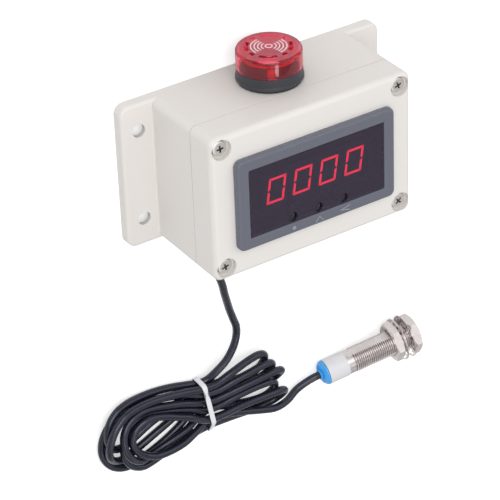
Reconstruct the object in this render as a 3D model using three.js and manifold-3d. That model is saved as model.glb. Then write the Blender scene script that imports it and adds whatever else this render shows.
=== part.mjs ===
// A wall-mounted digital tachometer: a plastic enclosure with a four-digit panel meter, an alarm
// lamp with a sounder on its top side, and a threaded proximity sensor on a hanked cable.
// Millimetres. X runs across the front, Y up towards the lamp and Z out of the front. The origin
// is the middle of the flat back, which is also the surface that the cable and the sensor lie on.

import * as THREE from 'three';
import { mergeVertices } from 'three/addons/utils/BufferGeometryUtils.js';
import Module from 'manifold-3d';

const wasm = await Module();
wasm.setup();

// Allowances that many pieces share
const weldTolerance = 0.001;
const overrun = 2;
const seatGap = 0.3;
const slimGap = 0.15;
const surfaceGap = 0.05;

// Enclosure: a base with two hollow ears and a shallow cover
const box = {
  width: 100,
  height: 68,
  depth: 50,
  wall: 2.5,
  floor: 2.5,
  frontWall: 2.6,
  cornerRadius: 3.5,
  insideRadius: 1.5,
  frontEdgeRadius: 2.5,
  seam: 34.6,
};
const ear = {
  reach: 15.5,
  depth: 5.5,
  plate: 2.2,
  skirt: 2,
  cornerRadius: 4.5,
  insideRadius: 2,
  ribWidth: 2,
  holeRadius: 3,
  holeInset: 7,
  holeSpread: 42.6,
};
const tongue = { thickness: 1.2, height: 2, gap: 0.2 };
const gasket = { thickness: 1, width: 0.9 };
const post = { insetX: 5.6, insetY: 5.7, wall: 1.2, lowerWall: 1.8, head: 5 };
const insert = {
  radius: 2.5,
  bore: 1.75,
  height: 8,
  grooveDepth: 0.3,
  grooveWidth: 1,
  grooves: 2,
  lead: 0.4,
};
const screw = {
  shank: 1.45,
  grip: 4.85,
  headRadius: 3.5,
  headHeight: 2.2,
  headRim: 0.9,
  point: 1,
  recessLength: 3.9,
  recessWidth: 0.9,
  recessDepth: 1.2,
  seatDepth: 2.6,
  seatRadius: 4.6,
  holeGap: 0.35,
};

// Panel meter
const meter = {
  marginX: 10.5,
  marginY: 12.5,
  flangeDepth: 3,
  flangeChamfer: 1.3,
  flangeRadius: 3,
  lapX: 1.8,
  lapY: 2.3,
  caseDepth: 21.3,
  caseWall: 1.8,
  caseRadius: 1,
  ledge: 0.7,
};
const pane = { frameX: 5.8, frameY: 5.6, thickness: 1.5, inset: 0.3, radius: 0.5, gap: 0.25 };
const keys = { first: -12.6, pitch: 12.85, rise: 2.45, holeRadius: 2.1 };
const plunger = { radius: 1.7, inset: 1.4, travel: 0.3, rounding: 0.3 };
const keySwitch = { size: 6, height: 3.5, floor: 1.3, boreGap: 0.3 };
const mark = { rise: 1.7, edge: 2.9, width: 3.6, stroke: 0.55, proud: 0.2, sink: 0.2, dotRadius: 0.9 };
const digits = {
  count: 4,
  x: 0.3,
  widthShare: 0.6886,
  heightShare: 0.6793,
  slantShare: 0.155,
  strokeShare: 0.1,
  joint: 0.3,
  dotRadius: 0.65,
  dotOffset: 1.55,
};
const display = {
  wall: 0.9,
  marginX: 7.56,
  marginTop: 5.5,
  aboveKeys: 2.45,
  depth: 7.5,
  behindPane: 1.5,
  faceDepth: 2.4,
  slabGap: 0.2,
  slab: 1.2,
  slotGap: 0.15,
};
const board = { thickness: 1.6 };
const rearBoard = { drop: 7.4 };
const header = { width: 25, height: 2.5, y: 8 };
const chip = { width: 12, height: 7.5, depth: 2, x: -14, y: -2 };
const capacitor = { radius: 3, length: 6, x: 20, y: 2, dome: 0.3, groove: 0.35 };
const relay = { width: 15, height: 7, depth: 6.4, x: 0, y: -8 };
const terminals = { ways: 6, pitch: 5, height: 8, depth: 9, y: -4, screwRadius: 1.5, recess: 1.2 };
const lid = { thickness: 1.8, slotGap: 0.5 };
const clip = { thickness: 3.2, height: 14, length: 9, hook: 1.2, hookLength: 3 };

// Alarm lamp with a sounder, standing on the top side of the enclosure
const lamp = {
  x: -0.7,
  z: 19.7,
  turn: -35,
  sealThickness: 0.7,
  sealRadius: 13.9,
  flangeRadius: 14.55,
  flangeHeight: 1.5,
  baseRadius: 14.15,
  baseHeight: 3.8,
  stemRadius: 10.9,
  stemLength: 13,
  stemBore: 9,
  threadDepth: 0.5,
  threadPitch: 2,
  holeGap: 0.3,
};
const lens = {
  radius: 14.15,
  height: 8.6,
  wall: 1.4,
  top: 1.6,
  shoulder: 1.6,
  slotRadius: 9.6,
  slotWidth: 1.9,
  longSlot: 46,
  shortSlot: 14,
  hole: 1,
};
const wave = {
  ring: 1.75,
  width: 0.6,
  first: 3.1,
  pitch: 1.5,
  count: 4,
  spread: 96,
  proud: 0.2,
  sink: 0.2,
};
const core = { radius: 11.4, wall: 1.6, height: 6, floor: 1.2, slot: 4.2, slots: 4, skirt: 1.2 };
const lampBoard = { thickness: 1.2, lightRadius: 2.4, lightHeight: 3, lightRing: 5.2 };
const sounder = { height: 6, mouth: 1.5, mouthDepth: 1 };
const lampNut = { acrossFlats: 27, thickness: 4, gap: 0.35, chamfer: 0.8 };
const plug = { thickness: 2, pinLength: 2.3, pinWidth: 2.8, pinThickness: 0.8, pinSpacing: 9 };

// Cable: grommet, lead, hank, tail and tie
const cable = { radius: 1.8, sides: 8, step: 6, inset: 15.5, z: 22 };
const grommet = {
  flangeRadius: 5,
  flangeThickness: 1.8,
  neckRadius: 3.4,
  holeGap: 0.3,
  collarRadius: 2.9,
  collar: 0.5,
};
const hank = {
  shift: -3,
  y: -131.4,
  halfRun: 29,
  radius: 18,
  step: 4.5,
  layerGap: 0.5,
  waist: 5.4,
  waistLength: 14,
  nose: 2,
  sides: 6,
};
const tie = {
  width: 2.3,
  thickness: 0.5,
  slant: 9,
  gap: 0.45,
  sideGap: 0.7,
  liftLength: 9,
  radius: 3,
};

// Route of the lead from the grommet to the hank and of the tail from the hank to the sensor, each
// place counted along X from the cable's exit
const leadPoints = [
  [0.2, -43, 22],
  [1.6, -48.5, 21.9],
  [4, -54.5, 21],
  [7.7, -66, 17.2],
  [13.9, -82.3, 10.8],
  [19.8, -95.4, 5.4],
  [21.9, -103.2, 2.7],
  [20.9, -109, 1.95],
  [17.1, -113, 1.85],
];
const tailPoints = [
  [18, -150.7, 5.9],
  [26, -151.7, 5.5],
  [33.5, -151.3, 4.5],
  [40.5, -149.8, 3.2],
  [46.8, -147.5, 2.2],
  [52.1, -144.5, 2.6],
  [56.3, -141.7, 3.9],
];

// Sensor: its axis starts at the cable end of the cap and runs to the sensing face
const sensor = {
  shift: 64.4,
  y: -138.8,
  heading: 8,
  length: 52,
  bore: 4.9,
};
const cap = { radius: 5.9, length: 3.2, bevel: 1.5, collar: 2.7, collarLength: 1, plug: 4.6, depth: 5 };
const label = { radius: 6, thickness: 0.2, length: 10.2 };
const thread = {
  radius: 6,
  start: 18,
  pitch: 1,
  depth: 0.55,
  flat: 5,
  flatStart: 14.2,
  core: 5.7,
};
const nut = { acrossFlats: 17, thickness: 4, chamfer: 0.7, gap: 0.25 };
const washer = { radius: 10.3, thickness: 0.9, teeth: 12, rim: 1.1, slotWidth: 1.7, gap: 0.3 };
const nutSet = { fromFace: 14.4, panelGap: 3.2 };
const face = { thickness: 2.2, gap: 0.2, rim: 0.4 };
const sensorBoard = { cableRoom: 9.3, thickness: 1, faceRoom: 4.5 };
const sensorChip = { width: 4, length: 3, height: 1.5 };

// Round sides: how many facets each kind of round surface has
const sides = { large: 32, medium: 20, small: 14, tiny: 10, thread: 18, arc: 3, waveArc: 4 };

// Finishes
const finishes = {
  housing: { color: 0xe2dfdb, roughness: 0.55, metalness: 0 },
  rubber: { color: 0x2b2b2d, roughness: 0.9, metalness: 0 },
  steel: { color: 0xb9b7b4, roughness: 0.3, metalness: 1 },
  brass: { color: 0xb8954a, roughness: 0.35, metalness: 1 },
  bezel: { color: 0x73767f, roughness: 0.5, metalness: 0 },
  smoke: { color: 0x3e3846, roughness: 0.12, metalness: 0 },
  shell: { color: 0x1d1c20, roughness: 0.6, metalness: 0 },
  segment: { color: 0xf0405a, roughness: 0.4, metalness: 0 },
  circuit: { color: 0x2c5a3a, roughness: 0.6, metalness: 0 },
  black: { color: 0x303036, roughness: 0.5, metalness: 0 },
  green: { color: 0x4c8f5a, roughness: 0.5, metalness: 0 },
  lens: { color: 0xd0344a, roughness: 0.2, metalness: 0 },
  cable: { color: 0x33343d, roughness: 0.5, metalness: 0 },
  white: { color: 0xeeeef2, roughness: 0.5, metalness: 0 },
  blue: { color: 0x3c96dc, roughness: 0.4, metalness: 0 },
  nickel: { color: 0xc9c5c2, roughness: 0.28, metalness: 1 },
};

// Shape helpers: geometry is made with three.js and joined or cut as solids

/** Returns the joined solid of a closed geometry. */
function solid(geometry) {
  const plain = geometry.clone();
  plain.deleteAttribute('normal');
  plain.deleteAttribute('uv');
  const merged = mergeVertices(plain, weldTolerance);
  return new wasm.Manifold(new wasm.Mesh({
    numProp: 3,
    vertProperties: new Float32Array(merged.attributes.position.array),
    triVerts: new Uint32Array(merged.index.array),
  }));
}

/** Joins geometries into one solid. */
function join(...pieces) {
  return pieces.map((piece) => solid(piece)).reduce((whole, piece) => whole.add(piece));
}

/** Cuts geometries out of a solid. */
function cut(body, ...tools) {
  return tools.reduce((rest, tool) => rest.subtract(solid(tool)), body);
}

/** Turns a solid back into a geometry. */
function geometryOf(body) {
  const mesh = body.getMesh();
  const geometry = new THREE.BufferGeometry();
  geometry.setAttribute('position', new THREE.BufferAttribute(mesh.vertProperties, 3));
  geometry.setIndex(new THREE.BufferAttribute(mesh.triVerts, 1));
  geometry.computeVertexNormals();
  return geometry;
}

/** Outline of a rectangle with round corners, about the origin. */
function roundedOutline(width, height, radius) {
  const x = width / 2 - radius;
  const y = height / 2 - radius;
  const outline = new THREE.Shape();
  outline.moveTo(x, -y - radius);
  outline.absarc(x, -y, radius, -Math.PI / 2, 0, false);
  outline.absarc(x, y, radius, 0, Math.PI / 2, false);
  outline.absarc(-x, y, radius, Math.PI / 2, Math.PI, false);
  outline.absarc(-x, -y, radius, Math.PI, 1.5 * Math.PI, false);
  outline.closePath();
  return outline;
}

/** Straight prism of an outline, from bottom to top along Z. */
function prism(outline, bottom, top) {
  const depth = top - bottom;
  const options = { depth, bevelEnabled: false, curveSegments: sides.arc };
  return new THREE.ExtrudeGeometry(outline, options).translate(0, 0, bottom);
}

/** Block about a centre in X and Y, from bottom to top along Z. */
function block(width, height, bottom, top, x = 0, y = 0) {
  const middle = (bottom + top) / 2;
  return new THREE.BoxGeometry(width, height, top - bottom).translate(x, y, middle);
}

/** Cylinder along Z from bottom to top. */
function rod(radius, bottom, top, count, x = 0, y = 0) {
  const geometry = new THREE.CylinderGeometry(radius, radius, top - bottom, count);
  return geometry.rotateX(Math.PI / 2).translate(x, y, (bottom + top) / 2);
}

/** Body turned about Z from a profile of [radius, height] pairs. */
function turned(profile, count) {
  const points = profile.map(([radius, height]) => new THREE.Vector2(radius, height));
  return new THREE.LatheGeometry(points, count).rotateX(Math.PI / 2);
}

/** Turned ring with a bore, from bottom to top, with a chamfer on its outer edges. */
function ring(inner, outer, bottom, top, count, chamfer = 0) {
  const profile = [[inner, bottom], [outer - chamfer, bottom]];
  if (chamfer > 0) profile.push([outer, bottom + chamfer], [outer, top - chamfer]);
  profile.push([outer - chamfer, top], [inner, top], [inner, bottom]);
  return turned(profile, count);
}

/** Prism whose outline is drawn in the XZ plane and reaches from one Y to another. */
function prismAlongY(geometry, x, y, z) {
  return geometry.rotateX(-Math.PI / 2).translate(x, y, z);
}

/** Corner posts' centres. */
function postCentres() {
  const x = box.width / 2 - post.insetX;
  const y = box.height / 2 - post.insetY;
  return [[-x, y], [x, y], [-x, -y], [x, -y]];
}

/** Solid of the four corner posts, each filled outwards to its corner. */
function cornerPosts(radius, bottom, top) {
  const posts = postCentres().map(([x, y]) => {
    const filled = block(radius, radius, bottom, top, (Math.sign(x) * radius) / 2, 0);
    filled.translate(x, y + (Math.sign(y) * radius) / 2, 0);
    return join(rod(radius, bottom, top, sides.medium, x, y), filled);
  });
  return posts.reduce((whole, one) => whole.add(one));
}

/** Flat band of a ring's arc, as an outline. */
function arcOutline(radius, width, from, to, count) {
  const outline = new THREE.Shape();
  for (let i = 0; i <= count; i += 1) {
    const angle = from + ((to - from) * i) / count;
    const x = (radius + width / 2) * Math.cos(angle);
    const y = (radius + width / 2) * Math.sin(angle);
    if (i === 0) outline.moveTo(x, y);
    else outline.lineTo(x, y);
  }
  for (let i = count; i >= 0; i -= 1) {
    const angle = from + ((to - from) * i) / count;
    const inner = radius - width / 2;
    outline.lineTo(inner * Math.cos(angle), inner * Math.sin(angle));
  }
  outline.closePath();
  return outline;
}

/** Outline through a list of points. */
function outlineThrough(points) {
  const outline = new THREE.Shape();
  points.forEach(([x, y], i) => (i === 0 ? outline.moveTo(x, y) : outline.lineTo(x, y)));
  outline.closePath();
  return outline;
}

/** Six-sided nut with chamfered corners and a bore, from bottom to top. */
function hexNut(acrossFlats, bore, bottom, top, chamfer, count) {
  const corner = acrossFlats / Math.sqrt(3);
  const hexagon = rod(corner, bottom, top, 6);
  const trim = ring(0, corner, bottom, top, sides.medium, chamfer);
  const body = solid(hexagon).intersect(solid(trim));
  return cut(body, rod(bore, bottom - overrun, top + overrun, count));
}

const tachometer = new THREE.Group();
tachometer.name = 'digital_tachometer';

/** Adds one named mesh to a group. */
function add(name, shape, finish, group = tachometer) {
  const geometry = shape.isBufferGeometry ? shape : geometryOf(shape);
  const mesh = new THREE.Mesh(geometry, new THREE.MeshStandardMaterial(finish));
  mesh.name = name;
  group.add(mesh);
  return mesh;
}

// Enclosure

const seamTop = box.seam + seatGap / 2;
const seamBottom = box.seam - seatGap / 2;
const insideWidth = box.width - 2 * box.wall;
const insideHeight = box.height - 2 * box.wall;
const caseWidth = box.width - 2 * (meter.marginX + meter.lapX);
const caseHeight = box.height - 2 * (meter.marginY + meter.lapY);
const postRadius = screw.seatRadius + post.wall;
const lipInside = postRadius + tongue.gap;
const lipOutside = lipInside + tongue.thickness;
const lipTop = seamBottom + tongue.height;
const insertTop = seamBottom - slimGap;
const lipWidth = insideWidth + 2 * tongue.thickness;
const lipHeight = insideHeight + 2 * tongue.thickness;
const lampHole = lamp.stemRadius + lamp.holeGap;
const grommetHole = grommet.neckRadius + grommet.holeGap;
const cableX = cable.inset - box.width / 2;
const grommetOutside = box.wall + slimGap;
const grommetFace = grommetOutside + grommet.flangeThickness + grommet.collar;

/** The base with its floor, walls, ears, corner posts and sealing lip. */
function enclosureBase() {
  const earWidth = box.width + 2 * ear.reach;
  const shell = roundedOutline(box.width, box.height, box.cornerRadius);
  const lip = roundedOutline(lipWidth, lipHeight, box.insideRadius + tongue.thickness);
  const body = join(
    prism(shell, 0, seamBottom),
    prism(lip, box.floor, lipTop),
    prism(roundedOutline(earWidth, box.height, ear.cornerRadius), 0, ear.depth),
  );
  const cavity = roundedOutline(insideWidth, insideHeight, box.insideRadius);
  const lowerRadius = insert.radius + seatGap + post.lowerWall;
  const room = solid(prism(cavity, box.floor, lipTop + overrun))
    .subtract(cornerPosts(lowerRadius, 0, seamBottom))
    .subtract(cornerPosts(lipOutside, seamBottom - post.head, lipTop + overrun));
  const tools = [];
  const pocketWidth = ear.reach - ear.skirt;
  const pocketHeight = (box.height - 2 * ear.skirt - ear.ribWidth) / 2;
  for (const side of [-1, 1]) {
    const middle = side * (box.width / 2 + pocketWidth / 2);
    for (const end of [-1, 1]) {
      const outline = roundedOutline(pocketWidth, pocketHeight, ear.insideRadius);
      const pocket = prism(outline, -overrun, ear.depth - ear.plate);
      tools.push(pocket.translate(middle, (end * (pocketHeight + ear.ribWidth)) / 2, 0));
      const holeX = side * (box.width / 2 + ear.holeInset);
      const holeY = (end * ear.holeSpread) / 2;
      tools.push(rod(ear.holeRadius, 0, ear.depth + overrun, sides.small, holeX, holeY));
    }
  }
  for (const [x, y] of postCentres()) {
    const bore = insert.radius + seatGap;
    const depth = insertTop - insert.height - seatGap;
    tools.push(rod(bore, depth, seamBottom + overrun, sides.small, x, y));
  }
  const through = rod(lampHole, -box.wall - overrun, overrun, sides.medium);
  tools.push(prismAlongY(through, lamp.x, box.height / 2, lamp.z));
  const cableHole = rod(grommetHole, -overrun, box.wall + overrun, sides.small);
  tools.push(prismAlongY(cableHole, cableX, -box.height / 2, cable.z));
  const posts = cornerPosts(lipInside, seamBottom, lipTop + overrun);
  return cut(body.subtract(room).subtract(posts), ...tools);
}

/** The cover with its rounded front edge, screw posts and the meter's cut-out. */
function enclosureCover() {
  const round = box.frontEdgeRadius;
  const outline = roundedOutline(box.width, box.height, box.cornerRadius);
  const rounded = new THREE.ExtrudeGeometry(outline, {
    depth: box.depth - 2 * round,
    bevelThickness: round,
    bevelSize: round,
    bevelOffset: -round,
    bevelSegments: 3,
    curveSegments: sides.arc,
  }).translate(0, 0, round);
  const above = block(2 * box.width, 2 * box.height, seamTop, box.depth + overrun);
  const body = solid(rounded).intersect(solid(above));
  const cavity = roundedOutline(insideWidth, insideHeight, box.insideRadius);
  const posts = cornerPosts(postRadius, 0, box.depth);
  const room = solid(prism(cavity, 0, box.depth - box.frontWall)).subtract(posts);
  const rebateWidth = lipWidth + 2 * tongue.gap;
  const rebateHeight = lipHeight + 2 * tongue.gap;
  const rebateRadius = box.insideRadius + tongue.thickness + tongue.gap;
  const rebateTop = lipTop + gasket.thickness + 2 * seatGap;
  const rebate = roundedOutline(rebateWidth, rebateHeight, rebateRadius);
  const step = solid(prism(rebate, 0, rebateTop)).subtract(posts);
  const openWidth = caseWidth + 2 * seatGap;
  const openHeight = caseHeight + 2 * seatGap;
  const tools = [block(openWidth, openHeight, box.seam, box.depth + overrun)];
  for (const [x, y] of postCentres()) {
    const seat = box.depth - screw.seatDepth;
    tools.push(rod(screw.seatRadius, seat, box.depth + overrun, sides.medium, x, y));
    tools.push(rod(screw.shank + screw.holeGap, 0, box.depth, sides.tiny, x, y));
  }
  return cut(body.subtract(room).subtract(step), ...tools);
}

/** The sealing ring that lies on the base's lip, inside the cover's rebate. */
function coverGasket() {
  const bottom = lipTop + seatGap;
  const top = bottom + gasket.thickness;
  const rim = (tongue.thickness - gasket.width) / 2;
  const ringOf = (inset, radius) => {
    const width = lipWidth - 2 * inset;
    const height = lipHeight - 2 * inset;
    const corner = box.insideRadius + tongue.thickness - inset;
    const plate = solid(prism(roundedOutline(width, height, corner), bottom - overrun, top + overrun));
    return plate.subtract(cornerPosts(radius, bottom - 2 * overrun, top + 2 * overrun));
  };
  const layer = solid(block(box.width, box.height, bottom, top));
  const outer = layer.intersect(ringOf(rim, lipInside + rim));
  return outer.subtract(ringOf(rim + gasket.width, lipInside + rim + gasket.width));
}

/** One cover screw with a cross recess, its head seated at the given height. */
function coverScrew() {
  const seat = box.depth - screw.seatDepth + surfaceGap;
  const tip = insertTop - screw.grip;
  const dome = screw.headRadius - screw.headRim;
  const profile = [
    [0, tip],
    [screw.shank - screw.headRim / 2, tip],
    [screw.shank, tip + screw.point],
    [screw.shank, seat],
    [screw.headRadius, seat],
    [screw.headRadius, seat + screw.headHeight - screw.headRim],
    [dome, seat + screw.headHeight],
    [0, seat + screw.headHeight],
  ];
  const body = solid(turned(profile, sides.small));
  const top = seat + screw.headHeight;
  const floor = top - screw.recessDepth;
  const slots = [
    block(screw.recessLength, screw.recessWidth, floor, top + overrun),
    block(screw.recessWidth, screw.recessLength, floor, top + overrun),
  ];
  return cut(body, ...slots);
}

/** One brass insert for a cover screw. */
function screwInsert() {
  const top = insertTop;
  const bottom = top - insert.height;
  const inner = insert.radius - insert.grooveDepth;
  const profile = [[insert.bore, bottom], [inner, bottom], [insert.radius, bottom + insert.lead]];
  const land = insert.height / (insert.grooves + 1);
  for (let i = 1; i <= insert.grooves; i += 1) {
    const middle = bottom + i * land;
    const half = insert.grooveWidth / 2;
    profile.push([insert.radius, middle - half], [inner, middle - half]);
    profile.push([inner, middle + half], [insert.radius, middle + half]);
  }
  profile.push([insert.radius, top], [insert.bore, top], [insert.bore, bottom]);
  return turned(profile, sides.small);
}

add('enclosure_base', enclosureBase(), finishes.housing);
add('enclosure_cover', enclosureCover(), finishes.housing);
add('cover_gasket', coverGasket(), finishes.rubber);
postCentres().forEach(([x, y], i) => {
  const turn = (i * Math.PI) / 5;
  const one = geometryOf(coverScrew());
  const fastener = add(`cover_screw_${i + 1}`, one, finishes.steel);
  fastener.position.set(x, y, 0);
  fastener.rotation.z = turn;
  const sleeve = add(`screw_insert_${i + 1}`, screwInsert(), finishes.brass);
  sleeve.position.set(x, y, 0);
});

// Panel meter

const flangeWidth = box.width - 2 * meter.marginX;
const flangeHeight = box.height - 2 * meter.marginY;
const paneWidth = flangeWidth - 2 * pane.frameX;
const paneHeight = flangeHeight - 2 * pane.frameY;
const keysY = keys.rise - paneHeight / 2;
const markY = mark.edge - flangeHeight / 2;
const displayHigh = paneHeight / 2 - display.marginTop;
const displayLow = keysY + keySwitch.size / 2 + display.aboveKeys;
const displayHeight = displayHigh - displayLow;
const digitsY = (displayHigh + displayLow) / 2;
const digitPitch = (paneWidth - 2 * display.marginX) / digits.count;
const digitWidth = digits.widthShare * digitPitch;
const digitHeight = digits.heightShare * displayHeight;
const digitStroke = digits.strokeShare * digitHeight;
const flangeBottom = box.depth + slimGap;
const flangeTop = flangeBottom + meter.flangeDepth;
const paneTop = flangeTop - pane.inset;
const paneBottom = paneTop - pane.thickness;
const displayTop = paneBottom - display.behindPane;
const displayBottom = displayTop - display.depth;
const boardTop = displayBottom - seatGap;
const boardBottom = boardTop - board.thickness;
const rearTop = boardBottom - rearBoard.drop;
const rearBottom = rearTop - board.thickness;
const caseEnd = box.depth - meter.caseDepth;
const lidTop = caseEnd - seatGap;
const lidBottom = lidTop - lid.thickness;
const boardWidth = caseWidth - 2 * (meter.caseWall + seatGap);
const boardHeight = caseHeight - 2 * (meter.caseWall + seatGap);
const keyPlaces = [0, 1, 2].map((i) => keys.first + i * keys.pitch);

/** A chevron of the given width and rise, pointing up, about its middle. */
function chevron() {
  const half = mark.width / 2;
  const low = -mark.rise / 2;
  const high = mark.rise / 2;
  return outlineThrough([
    [-half, low],
    [0, high],
    [half, low],
    [half - mark.stroke, low],
    [0, high - mark.stroke],
    [-half + mark.stroke, low],
  ]);
}

/** The meter's front frame, its case tube and the raised marks under the keys. */
function meterBezel() {
  const outline = roundedOutline(flangeWidth, flangeHeight, meter.flangeRadius);
  const chamfer = meter.flangeChamfer;
  const flange = new THREE.ExtrudeGeometry(outline, {
    depth: meter.flangeDepth - chamfer,
    bevelThickness: chamfer,
    bevelSize: chamfer,
    bevelOffset: -chamfer,
    bevelSegments: 1,
    curveSegments: sides.arc,
  }).translate(0, 0, flangeBottom);
  const keep = block(2 * flangeWidth, 2 * flangeHeight, flangeBottom, flangeTop);
  const tube = roundedOutline(caseWidth, caseHeight, meter.caseRadius);
  let body = solid(flange).intersect(solid(keep));
  body = body.add(solid(prism(tube, caseEnd, flangeBottom + meter.flangeChamfer)));
  const boreWidth = caseWidth - 2 * meter.caseWall;
  const boreHeight = caseHeight - 2 * meter.caseWall;
  const seatWidth = paneWidth + 2 * pane.gap;
  const seatHeight = paneHeight + 2 * pane.gap;
  const throatWidth = seatWidth - 2 * meter.ledge;
  const throatHeight = seatHeight - 2 * meter.ledge;
  const seat = paneBottom - seatGap;
  body = cut(
    body,
    block(boreWidth, boreHeight, caseEnd - overrun, seat - meter.ledge),
    prism(roundedOutline(seatWidth, seatHeight, pane.radius), seat, flangeTop + overrun),
    block(throatWidth, throatHeight, caseEnd, flangeTop + overrun),
  );
  const low = flangeTop - mark.sink;
  const high = flangeTop + mark.proud;
  const dot = rod(mark.dotRadius, low, high, sides.tiny, keyPlaces[0], markY);
  const up = prism(chevron(), low, high).translate(keyPlaces[1], markY, 0);
  const left = prism(chevron(), low, high).rotateZ(Math.PI / 2).translate(keyPlaces[2], markY, 0);
  return body.add(solid(dot)).add(solid(up)).add(solid(left));
}

/** The smoked window with its three key holes. */
function meterWindow() {
  const sheet = prism(roundedOutline(paneWidth, paneHeight, pane.radius), paneBottom, paneTop);
  const holes = keyPlaces.map((x) => {
    return rod(keys.holeRadius, paneBottom - overrun, paneTop + overrun, sides.small, x, keysY);
  });
  return cut(solid(sheet), ...holes);
}

/** Seven segment outlines and the point of one digit, about the digit's middle. */
function digitOutlines(grow) {
  const half = digitStroke / 2;
  const x = digitWidth / 2 - half;
  const y = digitHeight / 2 - half;
  const slant = ([px, py]) => [px + digits.slantShare * py, py];
  const bar = (length, cx, cy, upright) => {
    const reach = length / 2 - digits.joint + grow;
    const wide = half + grow;
    const points = [
      [-reach, 0],
      [-reach + wide, wide],
      [reach - wide, wide],
      [reach, 0],
      [reach - wide, -wide],
      [-reach + wide, -wide],
    ];
    const placed = points.map(([px, py]) => (upright ? [cx - py, cy + px] : [cx + px, cy + py]));
    return outlineThrough(placed.map(slant));
  };
  return [
    bar(2 * x, 0, y, false),
    bar(2 * x, 0, 0, false),
    bar(2 * x, 0, -y, false),
    bar(y, -x, y / 2, true),
    bar(y, x, y / 2, true),
    bar(y, -x, -y / 2, true),
    bar(y, x, -y / 2, true),
  ];
}

/** Places of the four digits. */
function digitPlaces() {
  const middle = (digits.count - 1) / 2;
  return Array.from({ length: digits.count }, (_, i) => digits.x + (i - middle) * digitPitch);
}

const faceBottom = displayTop - display.faceDepth;
const slabTop = faceBottom - display.slabGap;
const slabBottom = slabTop - display.slab;

/** The display's shell, open behind, with an opening for each segment. */
function displayShell() {
  const inside = digits.count * digitPitch;
  const width = inside + 2 * display.wall;
  const body = block(width, displayHeight, displayBottom, displayTop, digits.x, digitsY);
  const room = block(
    inside,
    displayHeight - 2 * display.wall,
    displayBottom - overrun,
    faceBottom,
    digits.x,
    digitsY,
  );
  const tools = [room];
  for (const place of digitPlaces()) {
    for (const outline of digitOutlines(display.slotGap)) {
      const slot = prism(outline, faceBottom - overrun, displayTop + overrun);
      tools.push(slot.translate(place, digitsY, 0));
    }
    const dotX = place + digitWidth / 2 + digits.dotOffset / 2;
    const dotY = digitsY - digitHeight / 2 + digits.dotRadius;
    const radius = digits.dotRadius + display.slotGap;
    tools.push(rod(radius, faceBottom - overrun, displayTop + overrun, sides.tiny, dotX, dotY));
  }
  return cut(solid(body), ...tools);
}

/** One digit's clear filling: a slab behind the face with its segments standing on it. */
function digitFilling() {
  const width = digitPitch - 2 * seatGap;
  const height = displayHeight - 2 * display.wall - 2 * seatGap;
  const slab = block(width, height, slabBottom, slabTop);
  const top = displayTop - surfaceGap;
  const bars = digitOutlines(0).map((outline) => prism(outline, slabBottom + slimGap, top));
  const dotX = digitWidth / 2 + digits.dotOffset / 2;
  const dotY = -digitHeight / 2 + digits.dotRadius;
  const dot = rod(digits.dotRadius, slabBottom + slimGap, top, sides.tiny, dotX, dotY);
  return join(slab, ...bars, dot);
}

/** One key switch body with its bore. */
function keySwitchBody(x) {
  const bottom = boardTop + slimGap;
  const top = bottom + keySwitch.height;
  const body = solid(block(keySwitch.size, keySwitch.size, bottom, top, x, keysY));
  const bore = plunger.radius + keySwitch.boreGap;
  return cut(body, rod(bore, bottom + keySwitch.floor, top + overrun, sides.small, x, keysY));
}

/** One key plunger, sprung in its switch and reaching into the window's hole. */
function keyPlunger(x) {
  const bottom = boardTop + slimGap + keySwitch.floor + plunger.travel + slimGap;
  const top = paneTop - plunger.inset;
  const round = plunger.rounding;
  const profile = [
    [0, bottom],
    [plunger.radius, bottom],
    [plunger.radius, top - round],
    [plunger.radius - round, top],
    [0, top],
  ];
  return turned(profile, sides.small).translate(x, keysY, 0);
}

/** The terminal block with its wire entries and screw recesses. */
function terminalBlock() {
  const width = terminals.ways * terminals.pitch;
  const top = rearBottom - slimGap;
  const bottom = top - terminals.depth;
  const body = solid(block(width, terminals.height, bottom, top, 0, terminals.y));
  const tools = [];
  for (let i = 0; i < terminals.ways; i += 1) {
    const x = (i - (terminals.ways - 1) / 2) * terminals.pitch;
    const end = bottom + terminals.recess;
    tools.push(rod(terminals.screwRadius, bottom - overrun, end, sides.tiny, x, terminals.y));
    const mouth = terminals.screwRadius;
    const entry = block(2 * mouth, overrun, bottom + mouth, bottom + 3 * mouth);
    tools.push(entry.translate(x, terminals.y - terminals.height / 2, 0));
  }
  return cut(body, ...tools);
}

/** The case's rear lid with a slot for the terminal block. */
function rearLid() {
  const outline = roundedOutline(caseWidth, caseHeight, meter.caseRadius);
  const width = terminals.ways * terminals.pitch + 2 * lid.slotGap;
  const height = terminals.height + 2 * lid.slotGap;
  const slot = block(width, height, lidBottom - overrun, lidTop + overrun, 0, terminals.y);
  return cut(solid(prism(outline, lidBottom, lidTop)), slot);
}

/** One side clip that holds the meter against the inside of the cover. */
function sideClip(side) {
  const top = box.depth - box.frontWall - seatGap;
  const inner = caseWidth / 2 + seatGap;
  const middle = inner + clip.thickness / 2;
  const body = block(clip.thickness, clip.height, top - clip.length, top, middle, 0);
  const notchBottom = top - clip.length + clip.hookLength;
  const notch = block(
    2 * (clip.thickness - clip.hook),
    clip.height + overrun,
    notchBottom,
    top - clip.hookLength,
    inner + clip.thickness,
    0,
  );
  const shape = geometryOf(cut(solid(body), notch));
  return side < 0 ? shape.rotateZ(Math.PI) : shape;
}

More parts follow.
